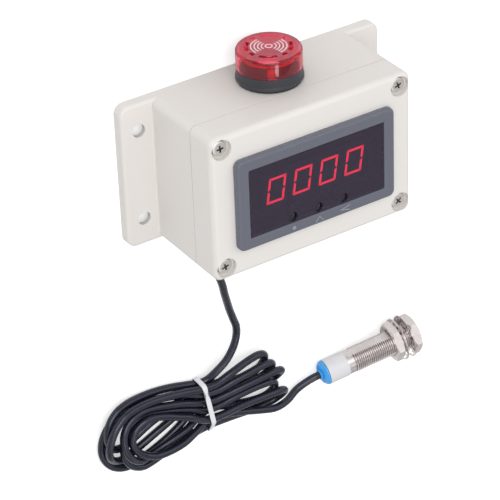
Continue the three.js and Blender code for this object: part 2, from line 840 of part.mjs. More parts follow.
add('meter_bezel', meterBezel(), finishes.bezel);
add('meter_window', meterWindow(), finishes.smoke);
add('display_shell', displayShell(), finishes.shell);
digitPlaces().forEach((x, i) => {
  const digit = add(`digit_filling_${i + 1}`, digitFilling(), finishes.segment);
  digit.position.set(x, digitsY, 0);
});
add('display_board', block(boardWidth, boardHeight, boardBottom, boardTop), finishes.circuit);
keyPlaces.forEach((x, i) => {
  add(`key_switch_${i + 1}`, keySwitchBody(x), finishes.black);
  add(`key_plunger_${i + 1}`, keyPlunger(x), finishes.shell);
});
add('rear_board', block(boardWidth, boardHeight, rearBottom, rearTop), finishes.circuit);
const headerTop = boardBottom - slimGap;
const headerBottom = rearTop + slimGap;
add(
  'board_header',
  block(header.width, header.height, headerBottom, headerTop, 0, header.y),
  finishes.black,
);
const chipBottom = rearTop + slimGap;
add(
  'controller_chip',
  block(chip.width, chip.height, chipBottom, chipBottom + chip.depth, chip.x, chip.y),
  finishes.black,
);
add(
  'alarm_relay',
  block(relay.width, relay.height, chipBottom, chipBottom + relay.depth, relay.x, relay.y),
  finishes.green,
);
const canWaist = capacitor.radius - capacitor.groove;
const canProfile = [
  [0, 0],
  [capacitor.radius, 0],
  [capacitor.radius, capacitor.groove],
  [canWaist, 2 * capacitor.groove],
  [capacitor.radius, 3 * capacitor.groove],
  [capacitor.radius, capacitor.length - capacitor.dome],
  [capacitor.radius - capacitor.dome, capacitor.length],
  [0, capacitor.length],
];
const can = add('supply_capacitor', turned(canProfile, sides.small), finishes.black);
can.position.set(capacitor.x, capacitor.y, chipBottom);
add('terminal_block', terminalBlock(), finishes.green);
add('meter_rear_lid', rearLid(), finishes.bezel);
add('meter_clip_left', sideClip(-1), finishes.bezel);
add('meter_clip_right', sideClip(1), finishes.bezel);

// Alarm lamp: built upwards from the outside of the top wall, then stood on it

const lampGroup = new THREE.Group();
lampGroup.position.set(lamp.x, box.height / 2, lamp.z);
lampGroup.rotation.x = -Math.PI / 2;
tachometer.add(lampGroup);

const sealBottom = slimGap;
const flangeFoot = sealBottom + lamp.sealThickness + slimGap;
const flangeHead = flangeFoot + lamp.flangeHeight;
const baseTop = flangeHead + lamp.baseHeight;
const lensBottom = baseTop + slimGap;
const lensTop = lensBottom + lens.height;
const stemEnd = flangeFoot - lamp.stemLength;
const coreBottom = baseTop - core.skirt;
const coreTop = coreBottom + core.height;

/** The lamp's dark base with its flange and hollow threaded stem. */
function lampBase() {
  const profile = [[lamp.stemBore, stemEnd], [lamp.stemRadius - lamp.threadDepth, stemEnd]];
  const grooves = Math.floor((lamp.stemLength - lamp.threadPitch) / lamp.threadPitch);
  for (let i = 0; i < grooves; i += 1) {
    const start = stemEnd + i * lamp.threadPitch;
    profile.push([lamp.stemRadius, start + lamp.threadPitch / 2]);
    profile.push([lamp.stemRadius - lamp.threadDepth, start + lamp.threadPitch]);
  }
  const pocket = lens.radius - lens.wall - seatGap;
  profile.push(
    [lamp.stemRadius - lamp.threadDepth, flangeFoot],
    [lamp.flangeRadius, flangeFoot],
    [lamp.flangeRadius, flangeHead],
    [lamp.baseRadius, flangeHead],
    [lamp.baseRadius, baseTop],
    [pocket, baseTop],
    [pocket, coreBottom - slimGap],
    [lamp.stemBore, coreBottom - slimGap],
    [lamp.stemBore, stemEnd],
  );
  return turned(profile, sides.large);
}

/** The red lens: a cup with sound slots and raised waves on its top. */
function lampLens() {
  const round = lens.shoulder;
  const inner = lens.radius - lens.wall;
  const ceiling = lensTop - lens.top;
  const profile = [
    [inner, lensBottom],
    [lens.radius, lensBottom],
    [lens.radius, lensTop - round],
    [lens.radius - round * (1 - Math.cos(Math.PI / 6)), lensTop - round / 2],
    [lens.radius - round * (1 - Math.cos(Math.PI / 3)), lensTop - round * (1 - Math.sin(Math.PI / 3))],
    [lens.radius - round, lensTop],
    [0, lensTop],
    [0, ceiling],
    [inner, ceiling],
    [inner, lensBottom],
  ];
  const turn = THREE.MathUtils.degToRad(lamp.turn);
  const tools = [rod(lens.hole, ceiling - overrun, lensTop + overrun, sides.tiny)];
  for (let i = 0; i < 8; i += 1) {
    const long = i % 2 === 0;
    const half = THREE.MathUtils.degToRad(long ? lens.longSlot : lens.shortSlot) / 2;
    const middle = turn + (i * Math.PI) / 4;
    const count = long ? sides.arc : 2;
    const from = middle - half;
    const outline = arcOutline(lens.slotRadius, lens.slotWidth, from, middle + half, count);
    tools.push(prism(outline, ceiling - overrun, lensTop + overrun));
  }
  let body = cut(solid(turned(profile, sides.large)), ...tools);
  const low = lensTop - wave.sink;
  const high = lensTop + wave.proud;
  body = body.add(solid(ring(wave.ring - wave.width, wave.ring, low, high, sides.small)));
  const spread = THREE.MathUtils.degToRad(wave.spread) / 2;
  for (const side of [0, Math.PI]) {
    for (let i = 0; i < wave.count; i += 1) {
      const radius = wave.first + i * wave.pitch;
      const middle = turn + side;
      const from = middle - spread;
      const to = middle + spread;
      const outline = arcOutline(radius, wave.width, from, to, sides.waveArc);
      body = body.add(solid(prism(outline, low, high)));
    }
  }
  return body;
}

/** The dark inner core: a cup with upright slots that the light leaves through. */
function lampCore() {
  const body = solid(rod(core.radius, coreBottom, coreTop, sides.medium));
  const inner = core.radius - core.wall;
  const tools = [rod(inner, coreBottom + core.floor, coreTop + overrun, sides.medium)];
  const turn = THREE.MathUtils.degToRad(lamp.turn);
  for (let i = 0; i < core.slots; i += 1) {
    const angle = turn + ((i + 1 / 2) * 2 * Math.PI) / core.slots;
    const slotBottom = baseTop + core.floor;
    const slot = block(core.radius, core.slot, slotBottom, coreTop + overrun, core.radius, 0);
    tools.push(slot.rotateZ(angle));
  }
  return cut(body, ...tools);
}

const lampBoardBottom = coreBottom + core.floor + slimGap;
const lampBoardTop = lampBoardBottom + lampBoard.thickness;

/** One domed light on the lamp's board. */
function lampLight(i) {
  const radius = lampBoard.lightRadius;
  const bottom = lampBoardTop + slimGap;
  const straight = lampBoard.lightHeight - radius / 2;
  const profile = [
    [0, bottom],
    [radius, bottom],
    [radius, bottom + straight],
    [radius * Math.cos(Math.PI / 4), bottom + straight + (radius / 2) * Math.sin(Math.PI / 4)],
    [0, bottom + lampBoard.lightHeight],
  ];
  const angle = THREE.MathUtils.degToRad(lamp.turn) + (i * 2 * Math.PI) / 3;
  const x = lampBoard.lightRing * Math.cos(angle);
  return turned(profile, sides.tiny).translate(x, lampBoard.lightRing * Math.sin(angle), 0);
}

/** The lamp's rear plug with two flat pins. */
function lampPlug() {
  const radius = lamp.stemBore - seatGap;
  const bottom = stemEnd - slimGap;
  const body = rod(radius, bottom, bottom + plug.thickness, sides.medium);
  const pins = [-1, 1].map((side) => {
    const x = (side * plug.pinSpacing) / 2;
    return block(plug.pinThickness, plug.pinWidth, bottom - plug.pinLength, bottom + slimGap, x, 0);
  });
  return join(body, ...pins);
}

const sealBore = lamp.stemRadius + seatGap;
const sealTop = sealBottom + lamp.sealThickness;
const lampSeal = ring(sealBore, lamp.sealRadius, sealBottom, sealTop, sides.large);
add('lamp_seal', lampSeal, finishes.rubber, lampGroup);
add('lamp_base', lampBase(), finishes.black, lampGroup);
add('lamp_lens', lampLens(), finishes.lens, lampGroup);
add('lamp_core', lampCore(), finishes.black, lampGroup);
const lampBoardRadius = core.radius - core.wall - seatGap;
const lampDisc = rod(lampBoardRadius, lampBoardBottom, lampBoardTop, sides.medium);
add('lamp_board', lampDisc, finishes.circuit, lampGroup);
for (let i = 0; i < 3; i += 1) {
  add(`lamp_light_${i + 1}`, lampLight(i), finishes.lens, lampGroup);
}
const sounderTop = coreBottom - seatGap;
const sounderBottom = sounderTop - sounder.height;
const mouthFloor = sounderTop - sounder.mouthDepth;
const sounderCan = cut(
  solid(rod(lamp.stemBore - seatGap, sounderBottom, sounderTop, sides.medium)),
  rod(sounder.mouth, mouthFloor, sounderTop + overrun, sides.tiny),
);
add('lamp_sounder', sounderCan, finishes.black, lampGroup);
add('lamp_plug', lampPlug(), finishes.black, lampGroup);
const nutTop = -box.wall - slimGap;
const lampNutBody = hexNut(
  lampNut.acrossFlats,
  lamp.stemRadius + lampNut.gap,
  nutTop - lampNut.thickness,
  nutTop,
  lampNut.chamfer,
  sides.medium,
);
add('lamp_nut', lampNutBody, finishes.black, lampGroup);

// Sensor: built along its own axis, which leans so that the rear edge and the washer's rim rest

const nutStart = sensor.length - nutSet.fromFace;
const labelStart = cap.length + slimGap;
const labelEnd = labelStart + label.length;
const nutRearEnd = nutStart + nut.thickness;
const washerRearStart = nutRearEnd + slimGap;
const washerRearEnd = washerRearStart + washer.thickness;
const washerFrontStart = washerRearEnd + nutSet.panelGap;
const washerFrontEnd = washerFrontStart + washer.thickness;
const nutFrontStart = washerFrontEnd + slimGap;
const nutFrontEnd = nutFrontStart + nut.thickness;
const lean = Math.atan((washer.radius - label.radius) / (washerRearStart - labelStart));
const axisHeight = surfaceGap + label.radius * Math.cos(lean) - labelStart * Math.sin(lean);
const heading = THREE.MathUtils.degToRad(sensor.heading);
const sensorAxis = new THREE.Vector3(
  Math.cos(lean) * Math.cos(heading),
  Math.cos(lean) * Math.sin(heading),
  Math.sin(lean),
);
const sensorSide = new THREE.Vector3(-Math.sin(heading), Math.cos(heading), 0);
const sensorDown = new THREE.Vector3().crossVectors(sensorSide, sensorAxis);
const sensorEntry = new THREE.Vector3(cableX + sensor.shift, sensor.y, axisHeight);
const sensorGroup = new THREE.Group();
sensorGroup.quaternion.setFromRotationMatrix(
  new THREE.Matrix4().makeBasis(sensorDown, sensorSide, sensorAxis),
);
sensorGroup.position.copy(sensorEntry);
tachometer.add(sensorGroup);

/** The blue end cap with its cable collar and the plug that enters the barrel. */
function sensorCap() {
  const profile = [
    [0, 0],
    [cap.collar, 0],
    [cap.collar, cap.collarLength],
    [cap.radius - cap.bevel, cap.collarLength],
    [cap.radius, cap.collarLength + cap.bevel],
    [cap.radius, cap.length],
    [cap.plug, cap.length],
    [cap.plug, cap.length + cap.depth],
    [0, cap.length + cap.depth],
  ];
  return turned(profile, sides.medium);
}

/** The metal barrel: a smooth rear, a fine thread and a flat along one side. */
function sensorBarrel() {
  const smooth = label.radius - label.thickness - surfaceGap;
  const valley = thread.radius - thread.depth;
  const profile = [[sensor.bore, labelStart], [smooth, labelStart]];
  profile.push([smooth, thread.start - thread.pitch], [thread.radius, thread.start]);
  const turns = Math.floor((nutStart - thread.start) / thread.pitch);
  for (let i = 0; i < turns; i += 1) {
    const start = thread.start + i * thread.pitch;
    profile.push([valley, start + thread.pitch / 2], [thread.radius, start + thread.pitch]);
  }
  profile.push([thread.core, thread.start + turns * thread.pitch]);
  profile.push([thread.core, sensor.length], [sensor.bore, sensor.length]);
  profile.push([sensor.bore, labelStart]);
  const body = solid(turned(profile, sides.thread));
  const reach = 2 * thread.radius;
  const flatMiddle = thread.flat + thread.radius;
  const flat = block(reach, reach, thread.flatStart, sensor.length + overrun, 0, flatMiddle);
  return cut(body, flat);
}

/** One lock washer with a smooth rim and teeth on its inside. */
function lockWasher(start) {
  const bore = thread.radius + washer.gap;
  const end = start + washer.thickness;
  const body = solid(ring(bore, washer.radius, start, end, sides.medium));
  const tools = [];
  for (let i = 0; i < washer.teeth; i += 1) {
    const length = washer.radius - washer.rim;
    const slot = block(length, washer.slotWidth, start - overrun, end + overrun, length / 2, 0);
    tools.push(slot.rotateZ((i * 2 * Math.PI) / washer.teeth));
  }
  return cut(body, ...tools);
}

/** One sensor nut from its start along the axis. */
function sensorNut(start) {
  const bore = thread.radius + nut.gap;
  return hexNut(nut.acrossFlats, bore, start, start + nut.thickness, nut.chamfer, sides.thread);
}

/** The face plug at the sensing end. */
function sensorFace() {
  const radius = sensor.bore - seatGap;
  const bottom = sensor.length - face.thickness;
  const top = sensor.length + face.gap;
  const profile = [
    [0, bottom],
    [radius, bottom],
    [radius, top - face.rim],
    [radius - face.rim, top],
    [0, top],
  ];
  return turned(profile, sides.small);
}

add('sensor_cap', sensorCap(), finishes.blue, sensorGroup);
add('sensor_barrel', sensorBarrel(), finishes.nickel, sensorGroup);
const sleeveInner = label.radius - label.thickness;
const labelSleeve = ring(sleeveInner, label.radius, labelStart, labelEnd, sides.thread);
add('sensor_label', labelSleeve, finishes.white, sensorGroup);
add('sensor_nut_rear', sensorNut(nutStart), finishes.nickel, sensorGroup);
add('sensor_washer_rear', lockWasher(washerRearStart), finishes.nickel, sensorGroup);
add('sensor_washer_front', lockWasher(washerFrontStart), finishes.nickel, sensorGroup);
add('sensor_nut_front', sensorNut(nutFrontStart), finishes.nickel, sensorGroup);
add('sensor_face', sensorFace(), finishes.blue, sensorGroup);
const plateStart = cap.length + cap.depth + sensorBoard.cableRoom;
const plateEnd = sensor.length - sensorBoard.faceRoom;
const boardReach = Math.sqrt((sensor.bore - seatGap) ** 2 - (sensorBoard.thickness / 2) ** 2);
const sensorPlate = block(sensorBoard.thickness, 2 * boardReach, plateStart, plateEnd);
add('sensor_board', sensorPlate, finishes.circuit, sensorGroup);
const sensorChipX = (sensorBoard.thickness + sensorChip.height) / 2 + slimGap;
const hall = block(
  sensorChip.height,
  sensorChip.width,
  plateEnd - sensorChip.length,
  plateEnd,
  sensorChipX,
  0,
);
add('sensor_chip', hall, finishes.black, sensorGroup);

// Cable

const hankSteps = { run: 5, arc: 7, loop: 24, start: 1.6, end: 135.4, climbStart: 61, climbEnd: 64 };
const hankX = cableX + hank.shift;
const tieX = hankX + hank.halfRun - (2 * hank.halfRun * 2) / hankSteps.run;
const strandLift = tie.thickness + tie.gap;
const layerRise = 2 * cable.radius + hank.layerGap;

/** Raises the strands over the tie's lower band. */
function liftAt(x) {
  return strandLift * Math.exp(-(((x - tieX) / tie.liftLength) ** 2));
}

/** How far a strand is drawn in at a place along the hank: most at the tie, a little beyond it. */
function drawAt(x) {
  const beyond = x > tieX ? hank.nose : 0;
  return beyond + (hank.waist - beyond) * Math.exp(-(((x - tieX) / hank.waistLength) ** 2));
}

/** Half width of the loop at a step: it spirals in and, past the climb, out again. */
function loopRadius(step) {
  const reversal = hankSteps.climbStart + hankSteps.climbEnd;
  const inward = Math.min(step, reversal - step);
  return hank.radius - (hank.step * inward) / hankSteps.loop;
}

/** Middle of the strand at a step of the hank. */
function strandPoint(step) {
  const radius = loopRadius(step);
  const part = step % hankSteps.loop;
  const { run, arc } = hankSteps;
  let x = hank.halfRun;
  let angle = Math.PI / 2;
  if (part < run) {
    x = hank.halfRun - (2 * hank.halfRun * part) / run;
  } else if (part < run + arc) {
    angle += (Math.PI * (part - run)) / arc;
    x = -hank.halfRun + radius * Math.cos(angle);
  } else if (part < 2 * run + arc) {
    angle = -Math.PI / 2;
    x = -hank.halfRun + (2 * hank.halfRun * (part - run - arc)) / run;
  } else {
    angle = -Math.PI / 2 + (Math.PI * (part - 2 * run - arc)) / arc;
    x = hank.halfRun + radius * Math.cos(angle);
  }
  const y = (radius - drawAt(hankX + x)) * Math.sin(angle);
  const span = hankSteps.climbEnd - hankSteps.climbStart;
  const climb = THREE.MathUtils.clamp((step - hankSteps.climbStart) / span, 0, 1);
  const z = cable.radius + surfaceGap + climb * layerRise + liftAt(hankX + x);
  return new THREE.Vector3(hankX + x, hank.y + y, z);
}

/** The hank's middle line, with a straight end of one diameter at each side. */
function hankLine() {
  const first = Math.floor(hankSteps.start);
  const last = Math.ceil(hankSteps.end);
  const points = [];
  for (let step = first; step <= last; step += 1) points.push(strandPoint(step));
  points[0].lerp(points[1], hankSteps.start - first);
  points[points.length - 1].lerp(points[points.length - 2], last - hankSteps.end);
  const extend = (from, at) => at.clone().sub(from).setLength(2 * cable.radius).add(at);
  points.unshift(extend(points[1], points[0]));
  points.push(extend(points[points.length - 2], points[points.length - 1]));
  return points;
}

/** Closed tube of a few sides along a line, as one geometry. */
function strandTube(points, radius, count) {
  const positions = [];
  const indices = [];
  const up = new THREE.Vector3(0, 0, 1);
  points.forEach((point, i) => {
    const before = points[Math.max(i - 1, 0)];
    const after = points[Math.min(i + 1, points.length - 1)];
    const along = after.clone().sub(before).normalize();
    const side = new THREE.Vector3().crossVectors(up, along).normalize();
    const top = new THREE.Vector3().crossVectors(along, side);
    for (let k = 0; k < count; k += 1) {
      const angle = (2 * Math.PI * k) / count;
      const offset = side.clone().multiplyScalar(radius * Math.cos(angle));
      offset.addScaledVector(top, radius * Math.sin(angle)).add(point);
      positions.push(offset.x, offset.y, offset.z);
    }
  });
  const last = (points.length - 1) * count;
  for (let i = 0; i < points.length - 1; i += 1) {
    for (let k = 0; k < count; k += 1) {
      const a = i * count + k;
      const b = i * count + ((k + 1) % count);
      indices.push(a, b, a + count, b, b + count, a + count);
    }
  }
  for (let k = 1; k < count - 1; k += 1) {
    indices.push(0, k + 1, k);
    indices.push(last, last + k, last + k + 1);
  }
  const geometry = new THREE.BufferGeometry();
  geometry.setAttribute('position', new THREE.Float32BufferAttribute(positions, 3));
  geometry.setIndex(indices);
  return geometry;
}

/** Least gap of a tube to itself, measured between points along its middle line. */
function leastGap(points, radius) {
  const spacing = radius / 2;
  const samples = [];
  let travelled = 0;
  for (let i = 0; i < points.length - 1; i += 1) {
    const length = points[i].distanceTo(points[i + 1]);
    const count = Math.ceil(length / spacing);
    for (let k = 0; k < count; k += 1) {
      const at = points[i].clone().lerp(points[i + 1], k / count);
      samples.push({ at, along: travelled + (length * k) / count });
    }
    travelled += length;
  }
  let least = Infinity;
  for (let i = 0; i < samples.length; i += 1) {
    for (let k = i + 1; k < samples.length; k += 1) {
      if (samples[k].along - samples[i].along > 8 * radius) {
        least = Math.min(least, samples[i].at.distanceTo(samples[k].at));
      }
    }
  }
  return least - 2 * radius;
}

/** Outline of the cable's section. */
function cableSection() {
  const points = Array.from({ length: cable.sides }, (_, k) => {
    const angle = (2 * Math.PI * (k + 1 / 2)) / cable.sides;
    return [cable.radius * Math.cos(angle), cable.radius * Math.sin(angle)];
  });
  return outlineThrough(points);
}

/** Free stretch of the cable through a list of points. */
function freeStretch(points) {
  const path = new THREE.CatmullRomCurve3(points, false, 'centripetal');
  const steps = Math.ceil(path.getLength() / cable.step);
  const options = { steps, extrudePath: path, bevelEnabled: false };
  return { geometry: new THREE.ExtrudeGeometry(cableSection(), options), path };
}

/** The grommet in the lower wall, with a flange on both sides of it. */
function cableGrommet() {
  const profile = [
    [0, -slimGap - grommet.flangeThickness],
    [grommet.flangeRadius, -slimGap - grommet.flangeThickness],
    [grommet.flangeRadius, -slimGap],
    [grommet.neckRadius, -slimGap],
    [grommet.neckRadius, grommetOutside],
    [grommet.flangeRadius, grommetOutside],
    [grommet.collarRadius, grommetOutside + grommet.flangeThickness],
    [grommet.collarRadius, grommetFace],
    [0, grommetFace],
  ];
  return turned(profile, sides.small);
}

const grommetMesh = add('cable_grommet', cableGrommet(), finishes.rubber);
grommetMesh.rotation.x = Math.PI / 2;
grommetMesh.position.set(cableX, -box.height / 2 + box.wall, cable.z);

const line = hankLine();
console.log(`hank: least gap to itself ${leastGap(line, cable.radius).toFixed(2)} mm`);
const lineEnd = line[line.length - 1];
const lineStart = line[0];
const outOfStart = lineStart.clone().sub(line[1]).normalize();
const outOfEnd = lineEnd.clone().sub(line[line.length - 2]).normalize();
const exitY = -box.height / 2 + box.wall - grommetFace - seatGap;
const exitPoint = new THREE.Vector3(cableX, exitY, cable.z);
const straightLength = 2 * cable.radius;

const leadLine = [
  exitPoint,
  exitPoint.clone().add(new THREE.Vector3(0, -straightLength / 2, 0)),
  ...leadPoints.map(([x, y, z]) => new THREE.Vector3(cableX + x, y, z)),
  lineStart.clone().addScaledVector(outOfStart, seatGap + straightLength / 2),
  lineStart.clone().addScaledVector(outOfStart, seatGap),
];
const tailLine = [
  lineEnd.clone().addScaledVector(outOfEnd, seatGap),
  lineEnd.clone().addScaledVector(outOfEnd, seatGap + straightLength / 2),
  ...tailPoints.map(([x, y, z]) => new THREE.Vector3(cableX + x, y, z)),
  sensorEntry.clone().addScaledVector(sensorAxis, -seatGap - straightLength / 2),
  sensorEntry.clone().addScaledVector(sensorAxis, -seatGap),
];
const lead = freeStretch(leadLine);
const tail = freeStretch(tailLine);
add('cable_lead', lead.geometry, finishes.cable);
add('cable_hank', strandTube(line, cable.radius, hank.sides), finishes.cable);
add('cable_tail', tail.geometry, finishes.cable);
const hankLength = line.slice(1).reduce((sum, point, i) => sum + point.distanceTo(line[i]), 0);
const lengths = [lead.path.getLength(), hankLength, tail.path.getLength()];
console.log(`cable: ${lengths.map((length) => length.toFixed(0)).join(' + ')} mm`);

/** The flat tie round the hank's waist. */
function cableTie() {
  const slant = THREE.MathUtils.degToRad(tie.slant);
  const beside = (tie.width * Math.tan(slant)) / 2 + cable.radius + tie.sideGap;
  const upper = (loopRadius(hankSteps.start) - drawAt(tieX) + beside) / Math.cos(slant);
  const lower = (loopRadius(hankSteps.end) - drawAt(tieX) + beside) / Math.cos(slant);
  const bottom = surfaceGap + tie.thickness;
  const top = surfaceGap + strandLift + 2 * cable.radius + layerRise + tie.gap;
  const innerWidth = upper + lower;
  const innerHeight = top - bottom;
  const outerWidth = innerWidth + 2 * tie.thickness;
  const outerHeight = innerHeight + 2 * tie.thickness;
  const outer = roundedOutline(outerWidth, outerHeight, tie.radius);
  outer.holes.push(roundedOutline(innerWidth, innerHeight, tie.radius - tie.thickness));
  const band = prism(outer, -tie.width / 2, tie.width / 2);
  band.rotateX(Math.PI / 2).rotateZ(Math.PI / 2);
  band.translate(0, (upper - lower) / 2, (top + bottom) / 2).rotateZ(slant);
  return band.translate(tieX, hank.y, 0);
}

add('cable_tie', cableTie(), finishes.white);

export default tachometer;
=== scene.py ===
"""Digital tachometer: a wall enclosure with a four-digit panel meter, an alarm lamp with a sounder on
its top side, and a threaded proximity sensor on a hanked cable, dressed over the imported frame.

Metres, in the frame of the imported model: X runs across the front, Y up towards the lamp and Z out
of the front. The flat back lies on Z = 0, and so do the cable and the sensor.
"""

import logging
import math
from collections.abc import Callable, Iterable, Sequence
from dataclasses import dataclass, field
from enum import Enum

import bmesh
import bpy
from mathutils import Matrix, Vector
from mathutils.geometry import convex_hull_2d


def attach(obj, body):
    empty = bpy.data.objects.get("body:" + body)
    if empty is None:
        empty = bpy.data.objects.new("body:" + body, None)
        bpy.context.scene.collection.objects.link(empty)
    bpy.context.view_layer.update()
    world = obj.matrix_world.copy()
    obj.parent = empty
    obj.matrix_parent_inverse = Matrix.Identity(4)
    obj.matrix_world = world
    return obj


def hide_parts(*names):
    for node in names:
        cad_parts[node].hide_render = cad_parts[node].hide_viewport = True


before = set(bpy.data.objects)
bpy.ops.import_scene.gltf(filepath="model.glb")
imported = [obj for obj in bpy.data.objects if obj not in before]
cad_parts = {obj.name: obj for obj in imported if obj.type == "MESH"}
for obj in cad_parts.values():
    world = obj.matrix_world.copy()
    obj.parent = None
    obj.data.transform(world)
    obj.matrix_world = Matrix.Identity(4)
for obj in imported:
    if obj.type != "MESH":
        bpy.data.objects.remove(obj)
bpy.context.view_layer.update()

LOG = logging.getLogger("tachometer")

Colour = tuple[float, float, float]
Point = tuple[float, float, float]
Pair = tuple[float, float]
Piece = bpy.types.Object
Material = bpy.types.Material

WELD = 1e-6
OVERRUN = 0.002
SEAT_GAP = 0.0003
SLIM_GAP = 0.00015
SURFACE_GAP = 0.00005
SMOOTH_ANGLE = math.radians(32)


class Body(Enum):
    """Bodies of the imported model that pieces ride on."""

    HOUSING = "housing"
    KEY_1 = "key_1"
    KEY_2 = "key_2"
    KEY_3 = "key_3"
    REAR_WASHER = "rear_washer"
    REAR_NUT = "rear_nut"
    FRONT_WASHER = "front_washer"
    FRONT_NUT = "front_nut"


class Slot(Enum):
    """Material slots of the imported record."""

    HOUSING = "housing"
    RUBBER = "rubber"
    STEEL = "steel"
    BEZEL = "bezel"
    SMOKE = "smoke"
    SHELL = "shell"
    SEGMENT = "segment"
    BLACK = "black"
    LENS = "lens"
    CABLE = "cable"
    WHITE = "white"
    BLUE = "blue"
    NICKEL = "nickel"


# Shader effects that several finishes share


class NodeDesk:
    """Adds and joins nodes in one node tree."""

    def __init__(self, tree: bpy.types.NodeTree) -> None:
        """Keeps the tree.

        Args:
            tree: The tree that the nodes go into.
        """
        self.tree = tree

    def add(self, kind: str, values: dict | None = None, **settings: object) -> bpy.types.Node:
        """Adds one node.

        Args:
            kind: The node's type name.
            values: A value or an output socket for each input, by name or number.
            settings: Properties of the node itself.

        Returns:
            The new node.
        """
        node = self.tree.nodes.new(kind)
        for key, value in settings.items():
            setattr(node, key, value)
        for key, value in (values or {}).items():
            self.feed(node.inputs[key], value)
        return node

    def feed(self, socket: bpy.types.NodeSocket, value: object) -> None:
        """Sets an input to a value or joins it to an output.

        Args:
            socket: The input.
            value: A plain value or an output socket.
        """
        if isinstance(value, bpy.types.NodeSocket):
            self.tree.links.new(value, socket)
        else:
            socket.default_value = value

    def math(self, operation: str, *values: object) -> bpy.types.NodeSocket:
        """Adds a Math node.

        Args:
            operation: The name of the sum.
            values: Its inputs.

        Returns:
            Its output.
        """
        node = self.add("ShaderNodeMath", dict(enumerate(values)), operation=operation)
        return node.outputs[0]

    def spread(
        self, value: object, low: float, high: float, to_low: float, to_high: float
    ) -> bpy.types.NodeSocket:
        """Maps a value from one range to another, smoothly.

        Args:
            value: The value.
            low: Start of its range.
            high: End of its range.
            to_low: What the start becomes.
            to_high: What the end becomes.

        Returns:
            The mapped output.
        """
        node = self.add("ShaderNodeMapRange", {0: value, 1: low, 2: high, 3: to_low, 4: to_high})
        node.interpolation_type = "SMOOTHSTEP"
        return node.outputs[0]

    def blend(self, share: object, first: object, second: object) -> bpy.types.NodeSocket:
        """Mixes two colours.

        Args:
            share: How much of the second.
            first: The first colour.
            second: The second colour.

        Returns:
            The mixed colour.
        """
        node = self.add("ShaderNodeMix", data_type="RGBA")
        self.feed(node.inputs["Factor"], share)
        self.feed(node.inputs[6], first)
        self.feed(node.inputs[7], second)
        return node.outputs[2]


